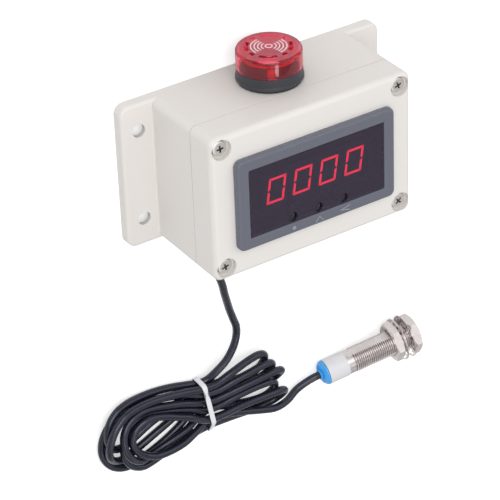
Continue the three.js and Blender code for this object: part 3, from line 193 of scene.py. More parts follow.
class Effects:
    """Node groups that put grain, turning marks, worn edges and specks on a surface."""

    made: dict[str, bpy.types.NodeTree] = {}

    @classmethod
    def start(
        cls, name: str, takes: dict[str, str], gives: dict[str, str]
    ) -> tuple[NodeDesk, bpy.types.NodeOutputs, bpy.types.NodeInputs]:
        """Starts a group with its sockets.

        Args:
            name: The group's name.
            takes: Input names with their socket types.
            gives: Output names with their socket types.

        Returns:
            A desk in the group, what the group takes and what it gives.
        """
        tree = bpy.data.node_groups.new(name, "ShaderNodeTree")
        for label, kind in takes.items():
            tree.interface.new_socket(name=label, in_out="INPUT", socket_type=kind)
        for label, kind in gives.items():
            tree.interface.new_socket(name=label, in_out="OUTPUT", socket_type=kind)
        desk = NodeDesk(tree)
        cls.made[name] = tree
        return desk, desk.add("NodeGroupInput").outputs, desk.add("NodeGroupOutput").inputs

    @classmethod
    def moulded_grain(cls) -> bpy.types.NodeTree:
        """Grain of moulded plastic: fine pits, and a slow drift of tone and gloss.

        Returns:
            The node group.
        """
        if "moulded_grain" in cls.made:
            return cls.made["moulded_grain"]
        number, colour = "NodeSocketFloat", "NodeSocketColor"
        takes = {"Vector": "NodeSocketVector", "Colour": colour, "Fineness": number}
        takes |= {"Drift": number, "Gloss": number}
        gives = {"Colour": colour, "Roughness": number, "Height": number}
        desk, inward, outward = cls.start("moulded_grain", takes, gives)
        place, fineness = inward["Vector"], inward["Fineness"]
        pits = desk.add("ShaderNodeTexNoise", {"Vector": place, "Scale": fineness, "Detail": 3.0})
        coarse = desk.math("MULTIPLY", fineness, 0.45)
        cells = desk.add("ShaderNodeTexVoronoi", {"Vector": place, "Scale": coarse})
        slow = desk.add("ShaderNodeTexNoise", {"Vector": place, "Scale": 22.0, "Detail": 2.0})
        height = desk.math("ADD", pits.outputs[0], desk.math("MULTIPLY", cells.outputs[0], 0.6))
        drift = desk.math("MULTIPLY", desk.math("SUBTRACT", slow.outputs[0], 0.5), inward["Drift"])
        fleck = desk.math("MULTIPLY", desk.math("SUBTRACT", pits.outputs[0], 0.5), inward["Drift"])
        tone = desk.math("ADD", 1.0, desk.math("ADD", drift, desk.math("MULTIPLY", fleck, 0.5)))
        shade = desk.add("ShaderNodeVectorMath", {0: inward["Colour"]}, operation="SCALE")
        desk.feed(shade.inputs["Scale"], tone)
        uneven = desk.math("MULTIPLY", desk.math("SUBTRACT", pits.outputs[0], 0.5), 0.16)
        rough = desk.math("ADD", inward["Gloss"], uneven)
        desk.feed(outward["Colour"], shade.outputs[0])
        desk.feed(outward["Roughness"], rough)
        desk.feed(outward["Height"], height)
        return desk.tree

    @classmethod
    def turning_marks(cls) -> bpy.types.NodeTree:
        """Fine rings that a cutting tool leaves about the Z axis of the given place.

        Returns:
            The node group.
        """
        if "turning_marks" in cls.made:
            return cls.made["turning_marks"]
        number = "NodeSocketFloat"
        takes = {"Vector": "NodeSocketVector", "Fineness": number}
        gives = {"Height": number, "Mask": number, "Reach": number}
        desk, inward, outward = cls.start("turning_marks", takes, gives)
        parts = desk.add("ShaderNodeSeparateXYZ", {0: inward["Vector"]}).outputs
        across = desk.add("ShaderNodeCombineXYZ", {0: parts[0], 1: parts[1]})
        reach = desk.add("ShaderNodeVectorMath", {0: across.outputs[0]}, operation="LENGTH")
        along = desk.add("ShaderNodeCombineXYZ", {0: reach.outputs["Value"], 1: parts[2]})
        values = {"Vector": along.outputs[0], "Scale": inward["Fineness"], "Detail": 4.0}
        rings = desk.add("ShaderNodeTexNoise", values)
        values = {"Vector": inward["Vector"], "Scale": 160.0, "Detail": 2.0}
        patches = desk.add("ShaderNodeTexNoise", values)
        desk.feed(outward["Height"], rings.outputs[0])
        desk.feed(outward["Reach"], reach.outputs["Value"])
        desk.feed(outward["Mask"], desk.spread(patches.outputs[0], 0.35, 0.7, 0.0, 1.0))
        return desk.tree

    @classmethod
    def worn_edges(cls) -> bpy.types.NodeTree:
        """Mask that is 1 on convex edges, broken up a little.

        Returns:
            The node group.
        """
        if "worn_edges" in cls.made:
            return cls.made["worn_edges"]
        takes = {"Vector": "NodeSocketVector"}
        desk, inward, outward = cls.start("worn_edges", takes, {"Mask": "NodeSocketFloat"})
        sharp = desk.add("ShaderNodeNewGeometry").outputs["Pointiness"]
        edge = desk.spread(sharp, 0.51, 0.58, 0.0, 1.0)
        values = {"Vector": inward["Vector"], "Scale": 900.0, "Detail": 3.0}
        broken = desk.add("ShaderNodeTexNoise", values)
        share = desk.spread(broken.outputs[0], 0.35, 0.6, 0.25, 1.0)
        desk.feed(outward["Mask"], desk.math("MULTIPLY", edge, share))
        return desk.tree

    @classmethod
    def specks(cls) -> bpy.types.NodeTree:
        """Mask of fine dust specks and faint wiping streaks.

        Returns:
            The node group.
        """
        if "specks" in cls.made:
            return cls.made["specks"]
        number = "NodeSocketFloat"
        takes = {"Vector": "NodeSocketVector", "Fineness": number}
        desk, inward, outward = cls.start("specks", takes, {"Dust": number, "Streaks": number})
        place = inward["Vector"]
        dots = desk.add("ShaderNodeTexVoronoi", {"Vector": place, "Scale": inward["Fineness"]})
        dust = desk.spread(dots.outputs[0], 0.04, 0.12, 1.0, 0.0)
        stretched = desk.add("ShaderNodeMapping", {"Vector": place, "Scale": (40.0, 900.0, 200.0)})
        wiped = desk.add("ShaderNodeTexNoise", {"Vector": stretched.outputs[0], "Detail": 2.0})
        desk.feed(outward["Dust"], dust)
        desk.feed(outward["Streaks"], desk.spread(wiped.outputs[0], 0.5, 0.75, 0.0, 1.0))
        return desk.tree


class Shader(NodeDesk):
    """One material under construction, with its Principled surface."""

    def __init__(self, name: str, constants: dict[str, object]) -> None:
        """Makes the material.

        Args:
            name: The material's name.
            constants: Values set straight on the surface's sockets.
        """
        self.material = bpy.data.materials.new(name)
        self.material.use_nodes = True
        super().__init__(self.material.node_tree)
        self.surface = self.tree.nodes["Principled BSDF"]
        for key, value in constants.items():
            self.surface.inputs[key].default_value = value
        self.place = self.add("ShaderNodeTexCoord").outputs["Object"]

    def effect(self, group: bpy.types.NodeTree, values: dict[str, object]) -> bpy.types.Node:
        """Places a shared effect in the material.

        Args:
            group: The effect's node group.
            values: Its inputs.

        Returns:
            The group node.
        """
        node = self.add("ShaderNodeGroup", node_tree=group)
        for key, value in values.items():
            self.feed(node.inputs[key], value)
        return node

    def into(self, name: str, value: object) -> None:
        """Feeds one socket of the surface."""
        self.feed(self.surface.inputs[name], value)

    def bump(self, height: object, distance: float, strength: float = 1.0) -> None:
        """Turns a height into the surface's normal.

        Args:
            height: The height's output.
            distance: How deep a height of 1 is, in metres.
            strength: How much of it shows.
        """
        values = {"Height": height, "Distance": distance, "Strength": strength}
        self.into("Normal", self.add("ShaderNodeBump", values).outputs[0])


def rgba(colour: Colour) -> tuple[float, float, float, float]:
    """Adds full alpha to a colour."""
    return (*colour, 1.0)


@dataclass(frozen=True)
class Moulded:
    """Moulded plastic or rubber with a fine grain."""

    name: str
    colour: Colour
    gloss: float
    fineness: float = 3200.0
    depth: float = 0.000012
    drift: float = 0.06
    edge: Colour | None = None
    coat: float = 0.0

    def material(self) -> Material:
        """Builds the material.

        Returns:
            The new material.
        """
        constants = {"Coat Weight": self.coat, "Coat Roughness": 0.25}
        shader = Shader(self.name, constants)
        values = {"Vector": shader.place, "Colour": rgba(self.colour), "Gloss": self.gloss}
        values |= {"Fineness": self.fineness, "Drift": self.drift}
        grain = shader.effect(Effects.moulded_grain(), values)
        colour = grain.outputs["Colour"]
        if self.edge is not None:
            worn = shader.effect(Effects.worn_edges(), {"Vector": shader.place})
            colour = shader.blend(worn.outputs["Mask"], colour, rgba(self.edge))
        shader.into("Base Color", colour)
        shader.into("Roughness", grain.outputs["Roughness"])
        shader.bump(grain.outputs["Height"], self.depth)
        return shader.material


@dataclass(frozen=True)
class Metal:
    """Bare or plated metal with turning marks about an axis, and painted shade in a thread's roots where root
    is set.
    """

    name: str
    colour: Colour
    dull: Colour
    roughness: float
    fineness: float = 5200.0
    depth: float = 0.000004
    centre: Point = (0.0, 0.0, 0.0)
    turn: Point = (0.0, 0.0, 0.0)
    # Radius about the axis inside which the colour darkens: painted shade in a thread's roots.
    root: float = 0.0
    root_colour: Colour = (0.31, 0.285, 0.275)

    def material(self) -> Material:
        """Builds the material.

        Returns:
            The new material.
        """
        shader = Shader(self.name, {"Metallic": 1.0})
        values = {"Vector": shader.place, "Location": self.centre, "Rotation": self.turn}
        local = shader.add("ShaderNodeMapping", values, vector_type="TEXTURE").outputs[0]
        values = {"Vector": local, "Fineness": self.fineness}
        marks = shader.effect(Effects.turning_marks(), values)
        worn = shader.effect(Effects.worn_edges(), {"Vector": shader.place})
        tone = shader.math("MULTIPLY", marks.outputs["Mask"], 0.5)
        colour = shader.blend(tone, rgba(self.colour), rgba(self.dull))
        colour = shader.blend(worn.outputs["Mask"], colour, rgba(self.colour))
        # Painted shade: the colour darkens towards root_colour inside the root radius, in the thread's roots.
        if self.root > 0.0:
            deep = shader.spread(marks.outputs["Reach"], self.root, self.root + 0.0004, 1.0, 0.0)
            colour = shader.blend(deep, colour, rgba(self.root_colour))
        spread = shader.math("MULTIPLY", marks.outputs["Mask"], 0.1)
        shader.into("Base Color", colour)
        shader.into("Roughness", shader.math("ADD", self.roughness, spread))
        shader.bump(marks.outputs["Height"], self.depth)
        return shader.material


@dataclass(frozen=True)
class Clear:
    """Tinted clear plastic with faint dust and wiping marks."""

    name: str
    colour: Colour
    roughness: float
    dust: Colour
    ior: float = 1.49
    fineness: float = 420.0
    clear: float = 1.0

    def material(self) -> Material:
        """Builds the material.

        Returns:
            The new material.
        """
        constants = {"Transmission Weight": self.clear, "IOR": self.ior, "Metallic": 0.0}
        shader = Shader(self.name, constants)
        values = {"Vector": shader.place, "Fineness": self.fineness}
        specks = shader.effect(Effects.specks(), values)
        share = shader.math("MULTIPLY", specks.outputs["Dust"], 0.35)
        shader.into("Base Color", shader.blend(share, rgba(self.colour), rgba(self.dust)))
        extra = shader.math("MULTIPLY", specks.outputs["Streaks"], 0.05)
        shader.into("Roughness", shader.math("ADD", self.roughness, extra))
        return shader.material


@dataclass(frozen=True)
class Segment:
    """Filling of a display segment, lit or not, and the painted red glow in the lamp's cup."""

    name: str
    colour: Colour
    light: Colour
    strength: float

    def material(self) -> Material:
        """Builds the material.

        Returns:
            The new material.
        """
        shader = Shader(self.name, {"Roughness": 0.35, "Emission Strength": self.strength})
        values = {"Vector": shader.place, "Scale": 1400.0, "Detail": 2.0}
        cloud = shader.add("ShaderNodeTexNoise", values)
        share = shader.spread(cloud.outputs[0], 0.35, 0.65, 0.0, 0.3)
        shader.into("Base Color", shader.blend(share, rgba(self.colour), rgba(self.light)))
        brighter = tuple(min(1.0, part * 1.15 + 0.02) for part in self.light)
        shader.into("Emission Color", shader.blend(share, rgba(self.light), rgba(brighter)))
        return shader.material


@dataclass(frozen=True)
class Circuit:
    """Printed board: green resist over copper tracks, with bare pads."""

    name: str = "board_resist"
    resist: Colour = (0.012, 0.11, 0.045)
    track: Colour = (0.03, 0.2, 0.085)
    pad: Colour = (0.75, 0.62, 0.36)
    pitch: float = 390.0

    def material(self) -> Material:
        """Builds the material.

        Returns:
            The new material.
        """
        shader = Shader(self.name, {"Coat Weight": 0.3, "Coat Roughness": 0.2})
        values = {"Vector": shader.place, "Scale": self.pitch}
        cells = shader.add("ShaderNodeTexVoronoi", values, distance="CHEBYCHEV")
        lines = shader.spread(cells.outputs[0], 0.34, 0.38, 0.0, 1.0)
        pads = shader.spread(cells.outputs[0], 0.1, 0.14, 1.0, 0.0)
        colour = shader.blend(lines, rgba(self.resist), rgba(self.track))
        shader.into("Base Color", shader.blend(pads, colour, rgba(self.pad)))
        shader.into("Roughness", shader.spread(pads, 0.0, 1.0, 0.42, 0.25))
        shader.bump(shader.math("ADD", lines, pads), 0.00003)
        return shader.material


@dataclass(frozen=True)
class Sheath:
    """Cable sheath: smooth vinyl with faint drawing marks and a soft shine."""

    name: str = "cable_sheath"
    colour: Colour = (0.0105, 0.011, 0.022)
    worn: Colour = (0.03, 0.032, 0.052)
    gloss: float = 0.28
    sheen: Colour = (0.8, 0.84, 1.0)

    def material(self) -> Material:
        """Builds the material.

        Returns:
            The new material.
        """
        constants = {"Specular IOR Level": 0.6, "Coat Weight": 0.25, "Coat Roughness": 0.17}
        constants["Specular Tint"] = rgba(self.sheen)
        shader = Shader(self.name, constants)
        values = {"Vector": shader.place, "Colour": rgba(self.colour), "Gloss": self.gloss}
        values |= {"Fineness": 1500.0, "Drift": 0.22}
        grain = shader.effect(Effects.moulded_grain(), values)
        values = {"Vector": shader.place, "Fineness": 300.0}
        specks = shader.effect(Effects.specks(), values)
        share = shader.math("MULTIPLY", specks.outputs["Streaks"], 0.3)
        shader.into("Base Color", shader.blend(share, grain.outputs["Colour"], rgba(self.worn)))
        shader.into("Roughness", grain.outputs["Roughness"])
        shader.bump(grain.outputs["Height"], 0.00003)
        return shader.material


@dataclass
class Palette:
    """Every finish of the object, built once."""

    sensor_centre: Point = (0.0, 0.0, 0.0)
    sensor_turn: Point = (0.0, 0.0, 0.0)
    made: dict[str, Material] = field(default_factory=dict)

    def build(self) -> None:
        """Builds the finishes."""
        pale = (0.8, 0.765, 0.735)
        silver = (0.85, 0.795, 0.78)
        dull = (0.67, 0.62, 0.61)
        place = {"centre": self.sensor_centre, "turn": self.sensor_turn}
        finishes = [
            Moulded("housing_plastic", pale, 0.46, depth=0.00001, drift=0.03, coat=0.04),
            Moulded("gasket_rubber", (0.02, 0.02, 0.022), 0.8, fineness=1600.0, depth=0.00004),
            Metal("screw_steel", (0.8, 0.775, 0.75), (0.6, 0.575, 0.55), 0.4, depth=0.000002),
            # Dark steel on the screws' cross recesses and under their heads' rims: painted shade.
            Metal("recess_steel", (0.26, 0.22, 0.21), (0.1, 0.085, 0.08), 0.5),
            Metal("insert_brass", (0.78, 0.57, 0.25), (0.5, 0.34, 0.14), 0.3),
            Moulded("bezel_plastic", (0.125, 0.134, 0.168), 0.46, edge=(0.19, 0.2, 0.24)),
            Moulded("mark_paint", (0.29, 0.3, 0.345), 0.55),
            Clear("window_smoke", (0.2, 0.155, 0.26), 0.02, (0.36, 0.33, 0.4), clear=0.88),
            Moulded("display_shell_plastic", (0.03, 0.022, 0.042), 0.5, depth=0.00002),
            Segment("segment_lit", (0.9, 0.1, 0.14), (1.0, 0.018, 0.035), 5.5),
            Segment("segment_dark", (0.035, 0.024, 0.04), (0.045, 0.026, 0.045), 0.0),
            Circuit(),
            Moulded("dark_plastic", (0.033, 0.036, 0.046), 0.42, edge=(0.07, 0.074, 0.09)),
            Moulded("core_plastic", (0.05, 0.022, 0.028), 0.5),
            # Red with a faint glow for the lamp's inner cup, though nothing there is lit: painted light.
            Segment("reflector_red", (0.85, 0.02, 0.05), (1.0, 0.01, 0.04), 0.1),
            Moulded("key_cap_plastic", (0.02, 0.019, 0.024), 0.4, edge=(0.08, 0.08, 0.09)),
            Moulded("chip_resin", (0.025, 0.026, 0.028), 0.6, fineness=4200.0),
            Moulded("terminal_plastic", (0.05, 0.26, 0.085), 0.45),
            Clear("lens_red", (0.84, 0.09, 0.15), 0.04, (0.85, 0.25, 0.28), clear=0.93),
            Clear("lens_frosted", (0.74, 0.11, 0.17), 0.35, (0.8, 0.4, 0.42), clear=0.55),
            Moulded("wave_ink", (0.88, 0.66, 0.68), 0.4, drift=0.1),
            Sheath(),
            Moulded("tie_wrap", (0.82, 0.82, 0.86), 0.35, fineness=2400.0, coat=0.2),
            Moulded("label_film", (0.74, 0.74, 0.77), 0.4, fineness=5200.0, coat=0.25),
            Moulded("cap_plastic", (0.04, 0.38, 0.93), 0.3, edge=(0.16, 0.52, 0.96), coat=0.15),
            Metal("sensor_nickel", silver, dull, 0.27, depth=0.0000009, **place),
            # Thread finish with painted shade in its roots.
            Metal("thread_nickel", silver, dull, 0.2, depth=0.0000008, root=0.00535, **place),
        ]
        for finish in finishes:
            self.made[finish.name] = finish.material()
        LOG.info("finishes: %d", len(self.made))

    def __getitem__(self, name: str) -> Material:
        """Gives one finish."""
        return self.made[name]


# Modelling steps that the sub-assemblies share


class Bench:
    """Modelling steps, done with Blender's own operators."""

    @staticmethod
    def clear() -> None:
        """Leaves edit mode and deselects everything."""
        if bpy.context.object is not None and bpy.context.object.mode != "OBJECT":
            bpy.ops.object.mode_set(mode="OBJECT")
        bpy.ops.object.select_all(action="DESELECT")

    @staticmethod
    def hold(piece: Piece) -> None:
        """Selects one piece alone and makes it active.

        Args:
            piece: The piece.
        """
        Bench.clear()
        piece.select_set(True)
        bpy.context.view_layer.objects.active = piece

    @staticmethod
    def edit(piece: Piece) -> None:
        """Opens one piece in edit mode with all of it selected.

        Args:
            piece: The piece.
        """
        Bench.hold(piece)
        bpy.ops.object.mode_set(mode="EDIT")
        bpy.ops.mesh.select_all(action="SELECT")

    @staticmethod
    def named(name: str) -> Piece:
        """Names the active piece and gives it.

        Args:
            name: Its name.

        Returns:
            The piece.
        """
        piece = bpy.context.object
        piece.name = name
        piece.data.name = name
        return piece

    @staticmethod
    def tidy_shell() -> None:
        """Merges doubles and turns all faces outwards, in edit mode."""
        bpy.ops.mesh.select_all(action="SELECT")
        bpy.ops.mesh.remove_doubles(threshold=WELD)
        bpy.ops.mesh.normals_make_consistent(inside=False)

    @staticmethod
    def prism(name: str, outline: Sequence[Pair], low: float, high: float) -> Piece:
        """Raises an outline in the XY plane into a prism.

        Args:
            name: The piece's name.
            outline: The outline's corners in order.
            low: Where it starts along Z.
            high: Where it ends.

        Returns:
            The prism.
        """
        Bench.clear()
        count = len(outline)
        bpy.ops.mesh.primitive_circle_add(vertices=count, radius=0.01, fill_type="NGON")
        piece = Bench.named(name)
        Bench.edit(piece)
        mesh = bmesh.from_edit_mesh(piece.data)
        for corner, (x, y) in zip(mesh.verts, outline, strict=True):
            corner.co = (x, y, low)
        bmesh.update_edit_mesh(piece.data)
        rise = {"value": (0.0, 0.0, high - low)}
        bpy.ops.mesh.extrude_region_move(TRANSFORM_OT_translate=rise)
        Bench.tidy_shell()
        Bench.clear()
        return piece

    @staticmethod
    def block(name: str, low: Point, high: Point) -> Piece:
        """Makes a block between two corners.

        Args:
            name: The piece's name.
            low: Its lowest corner.
            high: Its highest corner.

        Returns:
            The block.
        """
        outline = [(low[0], low[1]), (high[0], low[1]), (high[0], high[1]), (low[0], high[1])]
        return Bench.prism(name, outline, low[2], high[2])

    @staticmethod
    def rod(
        name: str, radius: float, low: float, high: float, count: int, at: Pair = (0, 0)
    ) -> Piece:
        """Makes a cylinder along Z.

        Args:
            name: The piece's name.
            radius: Its radius.
            low: Where it starts.
            high: Where it ends.
            count: How many sides it has.
            at: Its middle in X and Y.

        Returns:
            The cylinder.
        """
        turns = [2 * math.pi * i / count for i in range(count)]
        outline = [(at[0] + radius * math.cos(a), at[1] + radius * math.sin(a)) for a in turns]
        return Bench.prism(name, outline, low, high)

    @staticmethod
    def turned(name: str, profile: Sequence[Pair], count: int) -> Piece:
        """Spins a profile about Z.

        Args:
            name: The piece's name.
            profile: Pairs of radius and height, from one end of the section to the other.
            count: How many steps the spin has.

        Returns:
            The turned piece.
        """
        Bench.clear()
        bpy.ops.mesh.primitive_plane_add(size=0.001)
        piece = Bench.named(name)
        Bench.edit(piece)
        bpy.ops.mesh.merge(type="CENTER")
        radius, height = profile[0]
        bpy.ops.transform.translate(value=(radius, 0.0, height))
        for next_radius, next_height in profile[1:]:
            step = {"value": (next_radius - radius, 0.0, next_height - height)}
            bpy.ops.mesh.extrude_vertices_move(TRANSFORM_OT_translate=step)
            radius, height = next_radius, next_height
        bpy.ops.mesh.select_all(action="SELECT")
        settings = {"steps": count, "angle": 2 * math.pi, "dupli": False}
        bpy.ops.mesh.spin(center=(0, 0, 0), axis=(0, 0, 1), **settings)
        Bench.tidy_shell()
        Bench.clear()
        return piece

    @staticmethod
    def place(piece: Piece, where: Matrix) -> Piece:
        """Moves a piece and puts its place into its mesh.

        Args:
            piece: The piece.
            where: The move.

        Returns:
            The same piece.
        """
        Bench.hold(piece)
        piece.matrix_world = where @ piece.matrix_world
        bpy.ops.object.transform_apply(location=True, rotation=True, scale=True)
        return piece

    @staticmethod
    def copy(piece: Piece, name: str) -> Piece:
        """Copies a piece with a mesh of its own.

        Args:
            piece: The piece.
            name: The copy's name.

        Returns:
            The copy.
        """
        twin = piece.copy()
        twin.data = piece.data.copy()
        twin.name = name
        twin.data.name = name
        bpy.context.scene.collection.objects.link(twin)
        return twin

    @staticmethod
    def apply(piece: Piece) -> None:
        """Applies every modifier of a piece.

        Args:
            piece: The piece.
        """
        Bench.hold(piece)
        for modifier in list(piece.modifiers):
            bpy.ops.object.modifier_apply(modifier=modifier.name)

    @staticmethod
    def carve(body: Piece, tool: Piece, how: str = "DIFFERENCE") -> Piece:
        """Cuts, joins or meets a body with a tool, which is used up.

        Args:
            body: The piece that stays.
            tool: The piece that is used up.
            how: DIFFERENCE, UNION or INTERSECT.

        Returns:
            The body.
        """
        modifier = body.modifiers.new("carve", "BOOLEAN")
        modifier.operation = how
        modifier.solver = "EXACT"
        modifier.object = tool
        Bench.apply(body)
        bpy.data.objects.remove(tool)
        return body

    @staticmethod
    def gather(pieces: Sequence[Piece], name: str) -> Piece:
        """Joins pieces that don't touch into one object.

        Args:
            pieces: The pieces.
            name: The joined piece's name.

        Returns:
            The joined piece.
        """
        Bench.clear()
        for piece in pieces:
            piece.select_set(True)
        bpy.context.view_layer.objects.active = pieces[0]
        if len(pieces) > 1:
            bpy.ops.object.join()
        return Bench.named(name)

    @staticmethod
    def soften(
        piece: Piece,
        test: Callable[[Vector, Vector], bool],
        radius: float,
        steps: int = 3,
    ) -> Piece:
        """Rounds the sharp edges whose two ends pass a test.

        Args:
            piece: The piece.
            test: Takes the edge's two ends.
            radius: The bevel's width.
            steps: How many steps it has.

        Returns:
            The piece.
        """
        Bench.edit(piece)
        bpy.ops.mesh.select_all(action="DESELECT")
        bpy.ops.mesh.select_mode(type="EDGE")
        mesh = bmesh.from_edit_mesh(piece.data)
        for edge in mesh.edges:
            if len(edge.link_faces) != 2 or edge.calc_face_angle(0.0) < math.radians(25):
                continue
            if test(edge.verts[0].co, edge.verts[1].co):
                edge.select = True
        mesh.select_flush_mode()
        bmesh.update_edit_mesh(piece.data)
        bpy.ops.mesh.bevel(offset=radius, segments=steps, affect="EDGES", clamp_overlap=True)
        bpy.ops.mesh.select_mode(type="VERT")
        Bench.clear()
        return piece

    @staticmethod
    def paint(piece: Piece, material: Material, test: Callable[[Vector, Vector], bool]) -> None:
        """Gives some faces of a finished piece a finish of their own.

        Args:
            piece: The piece.
            material: The finish.
            test: Takes a face's middle and its normal.
        """
        piece.data.materials.append(material)
        last = len(piece.data.materials) - 1
        for face in piece.data.polygons:
            if test(face.center, face.normal):
                face.material_index = last

    @staticmethod
    def finish(
        piece: Piece,
        material: Material,
        slot: Slot,
        nodes: Iterable[str] = (),
        body: Body = Body.HOUSING,
        angle: float = SMOOTH_ANGLE,
    ) -> Piece:
        """Smooths a piece, dresses it and ties it to the frame.

        Args:
            piece: The piece.
            material: Its finish.
            slot: The record's slot of that finish; not used.
            nodes: The CAD nodes that it stands for.
            body: The body that it rides on.
            angle: Edges sharper than this stay sharp.

        Returns:
            The piece.
        """
        Bench.hold(piece)
        bpy.ops.object.shade_smooth_by_angle(angle=angle)
        modifier = piece.modifiers.new("even_normals", "WEIGHTED_NORMAL")
        modifier.keep_sharp = True
        Bench.apply(piece)
        piece.data.materials.clear()
        piece.data.materials.append(material)
        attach(piece, body.value)
        names = list(nodes)
        if names:
            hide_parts(*names)
        LOG.info("%s: %d faces on %s", piece.name, len(piece.data.polygons), body.value)
        return piece


def rounded(width: float, height: float, radius: float, steps: int = 8) -> list[Pair]:
    """Outline of a rectangle with round corners, about the origin.

    Args:
        width: Its size along X.
        height: Its size along Y.
        radius: The corners' radius.
        steps: How many steps each corner has.

    Returns:
        The outline.
    """
    x, y = width / 2 - radius, height / 2 - radius
    outline = []
    for quarter, (cx, cy) in enumerate([(x, y), (-x, y), (-x, -y), (x, -y)]):
        for i in range(steps + 1):
            angle = (quarter + i / steps) * math.pi / 2
            outline.append((cx + radius * math.cos(angle), cy + radius * math.sin(angle)))
    return outline


def drawn_round(points: Sequence[Pair], step: float) -> list[Pair]:
    """Outline drawn tight round points, with corners at even steps.

    Args:
        points: The points.
        step: About how far apart the outline's corners are.

    Returns:
        The outline.
    """
    corners = [points[i] for i in convex_hull_2d(points)]
    outline = []
    for a, b in zip(corners, corners[1:] + corners[:1], strict=True):
        count = max(1, round(math.dist(a, b) / step))
        for i in range(count):
            share = i / count
            outline.append((a[0] + (b[0] - a[0]) * share, a[1] + (b[1] - a[1]) * share))
    return outline


def band(radius: float, width: float, start: float, end: float, steps: int) -> list[Pair]:
    """Outline of a flat band along an arc.

    Args:
        radius: The band's middle radius.
        width: Its width.
        start: Where it starts, in radians.
        end: Where it ends.
        steps: How many steps the arc has.

    Returns:
        The outline.
    """
    turns = [start + (end - start) * i / steps for i in range(steps + 1)]
    outer, inner = radius + width / 2, radius - width / 2
    outline = [(outer * math.cos(a), outer * math.sin(a)) for a in turns]
    return outline + [(inner * math.cos(a), inner * math.sin(a)) for a in reversed(turns)]


def smooth_line(points: Sequence[Vector], step: float) -> list[Vector]:
    """Runs a centripetal spline through points.

    Args:
        points: The points in order.
        step: About how far apart the new points are.

    Returns:
        The points of the smooth line.
    """
    first = points[0] * 2 - points[1]
    last = points[-1] * 2 - points[-2]
    knots = [first, *points, last]
    line = []
    for i in range(1, len(knots) - 2):
        a, b, c, d = knots[i - 1:i + 3]
        t1 = max((b - a).length, WELD) ** 0.5
        t2 = t1 + max((c - b).length, WELD) ** 0.5
        t3 = t2 + max((d - c).length, WELD) ** 0.5
        count = max(2, round((c - b).length / step))
        for k in range(count):
            t = t1 + (t2 - t1) * k / count
            ab = a.lerp(b, t / t1)
            bc = b.lerp(c, (t - t1) / (t2 - t1))
            cd = c.lerp(d, (t - t2) / (t3 - t2))
            abc = ab.lerp(bc, t / t2)
            bcd = bc.lerp(cd, (t - t1) / (t3 - t1))
            line.append(abc.lerp(bcd, (t - t1) / (t2 - t1)))
    line.append(points[-1].copy())
    return line


# Photograph's camera and light


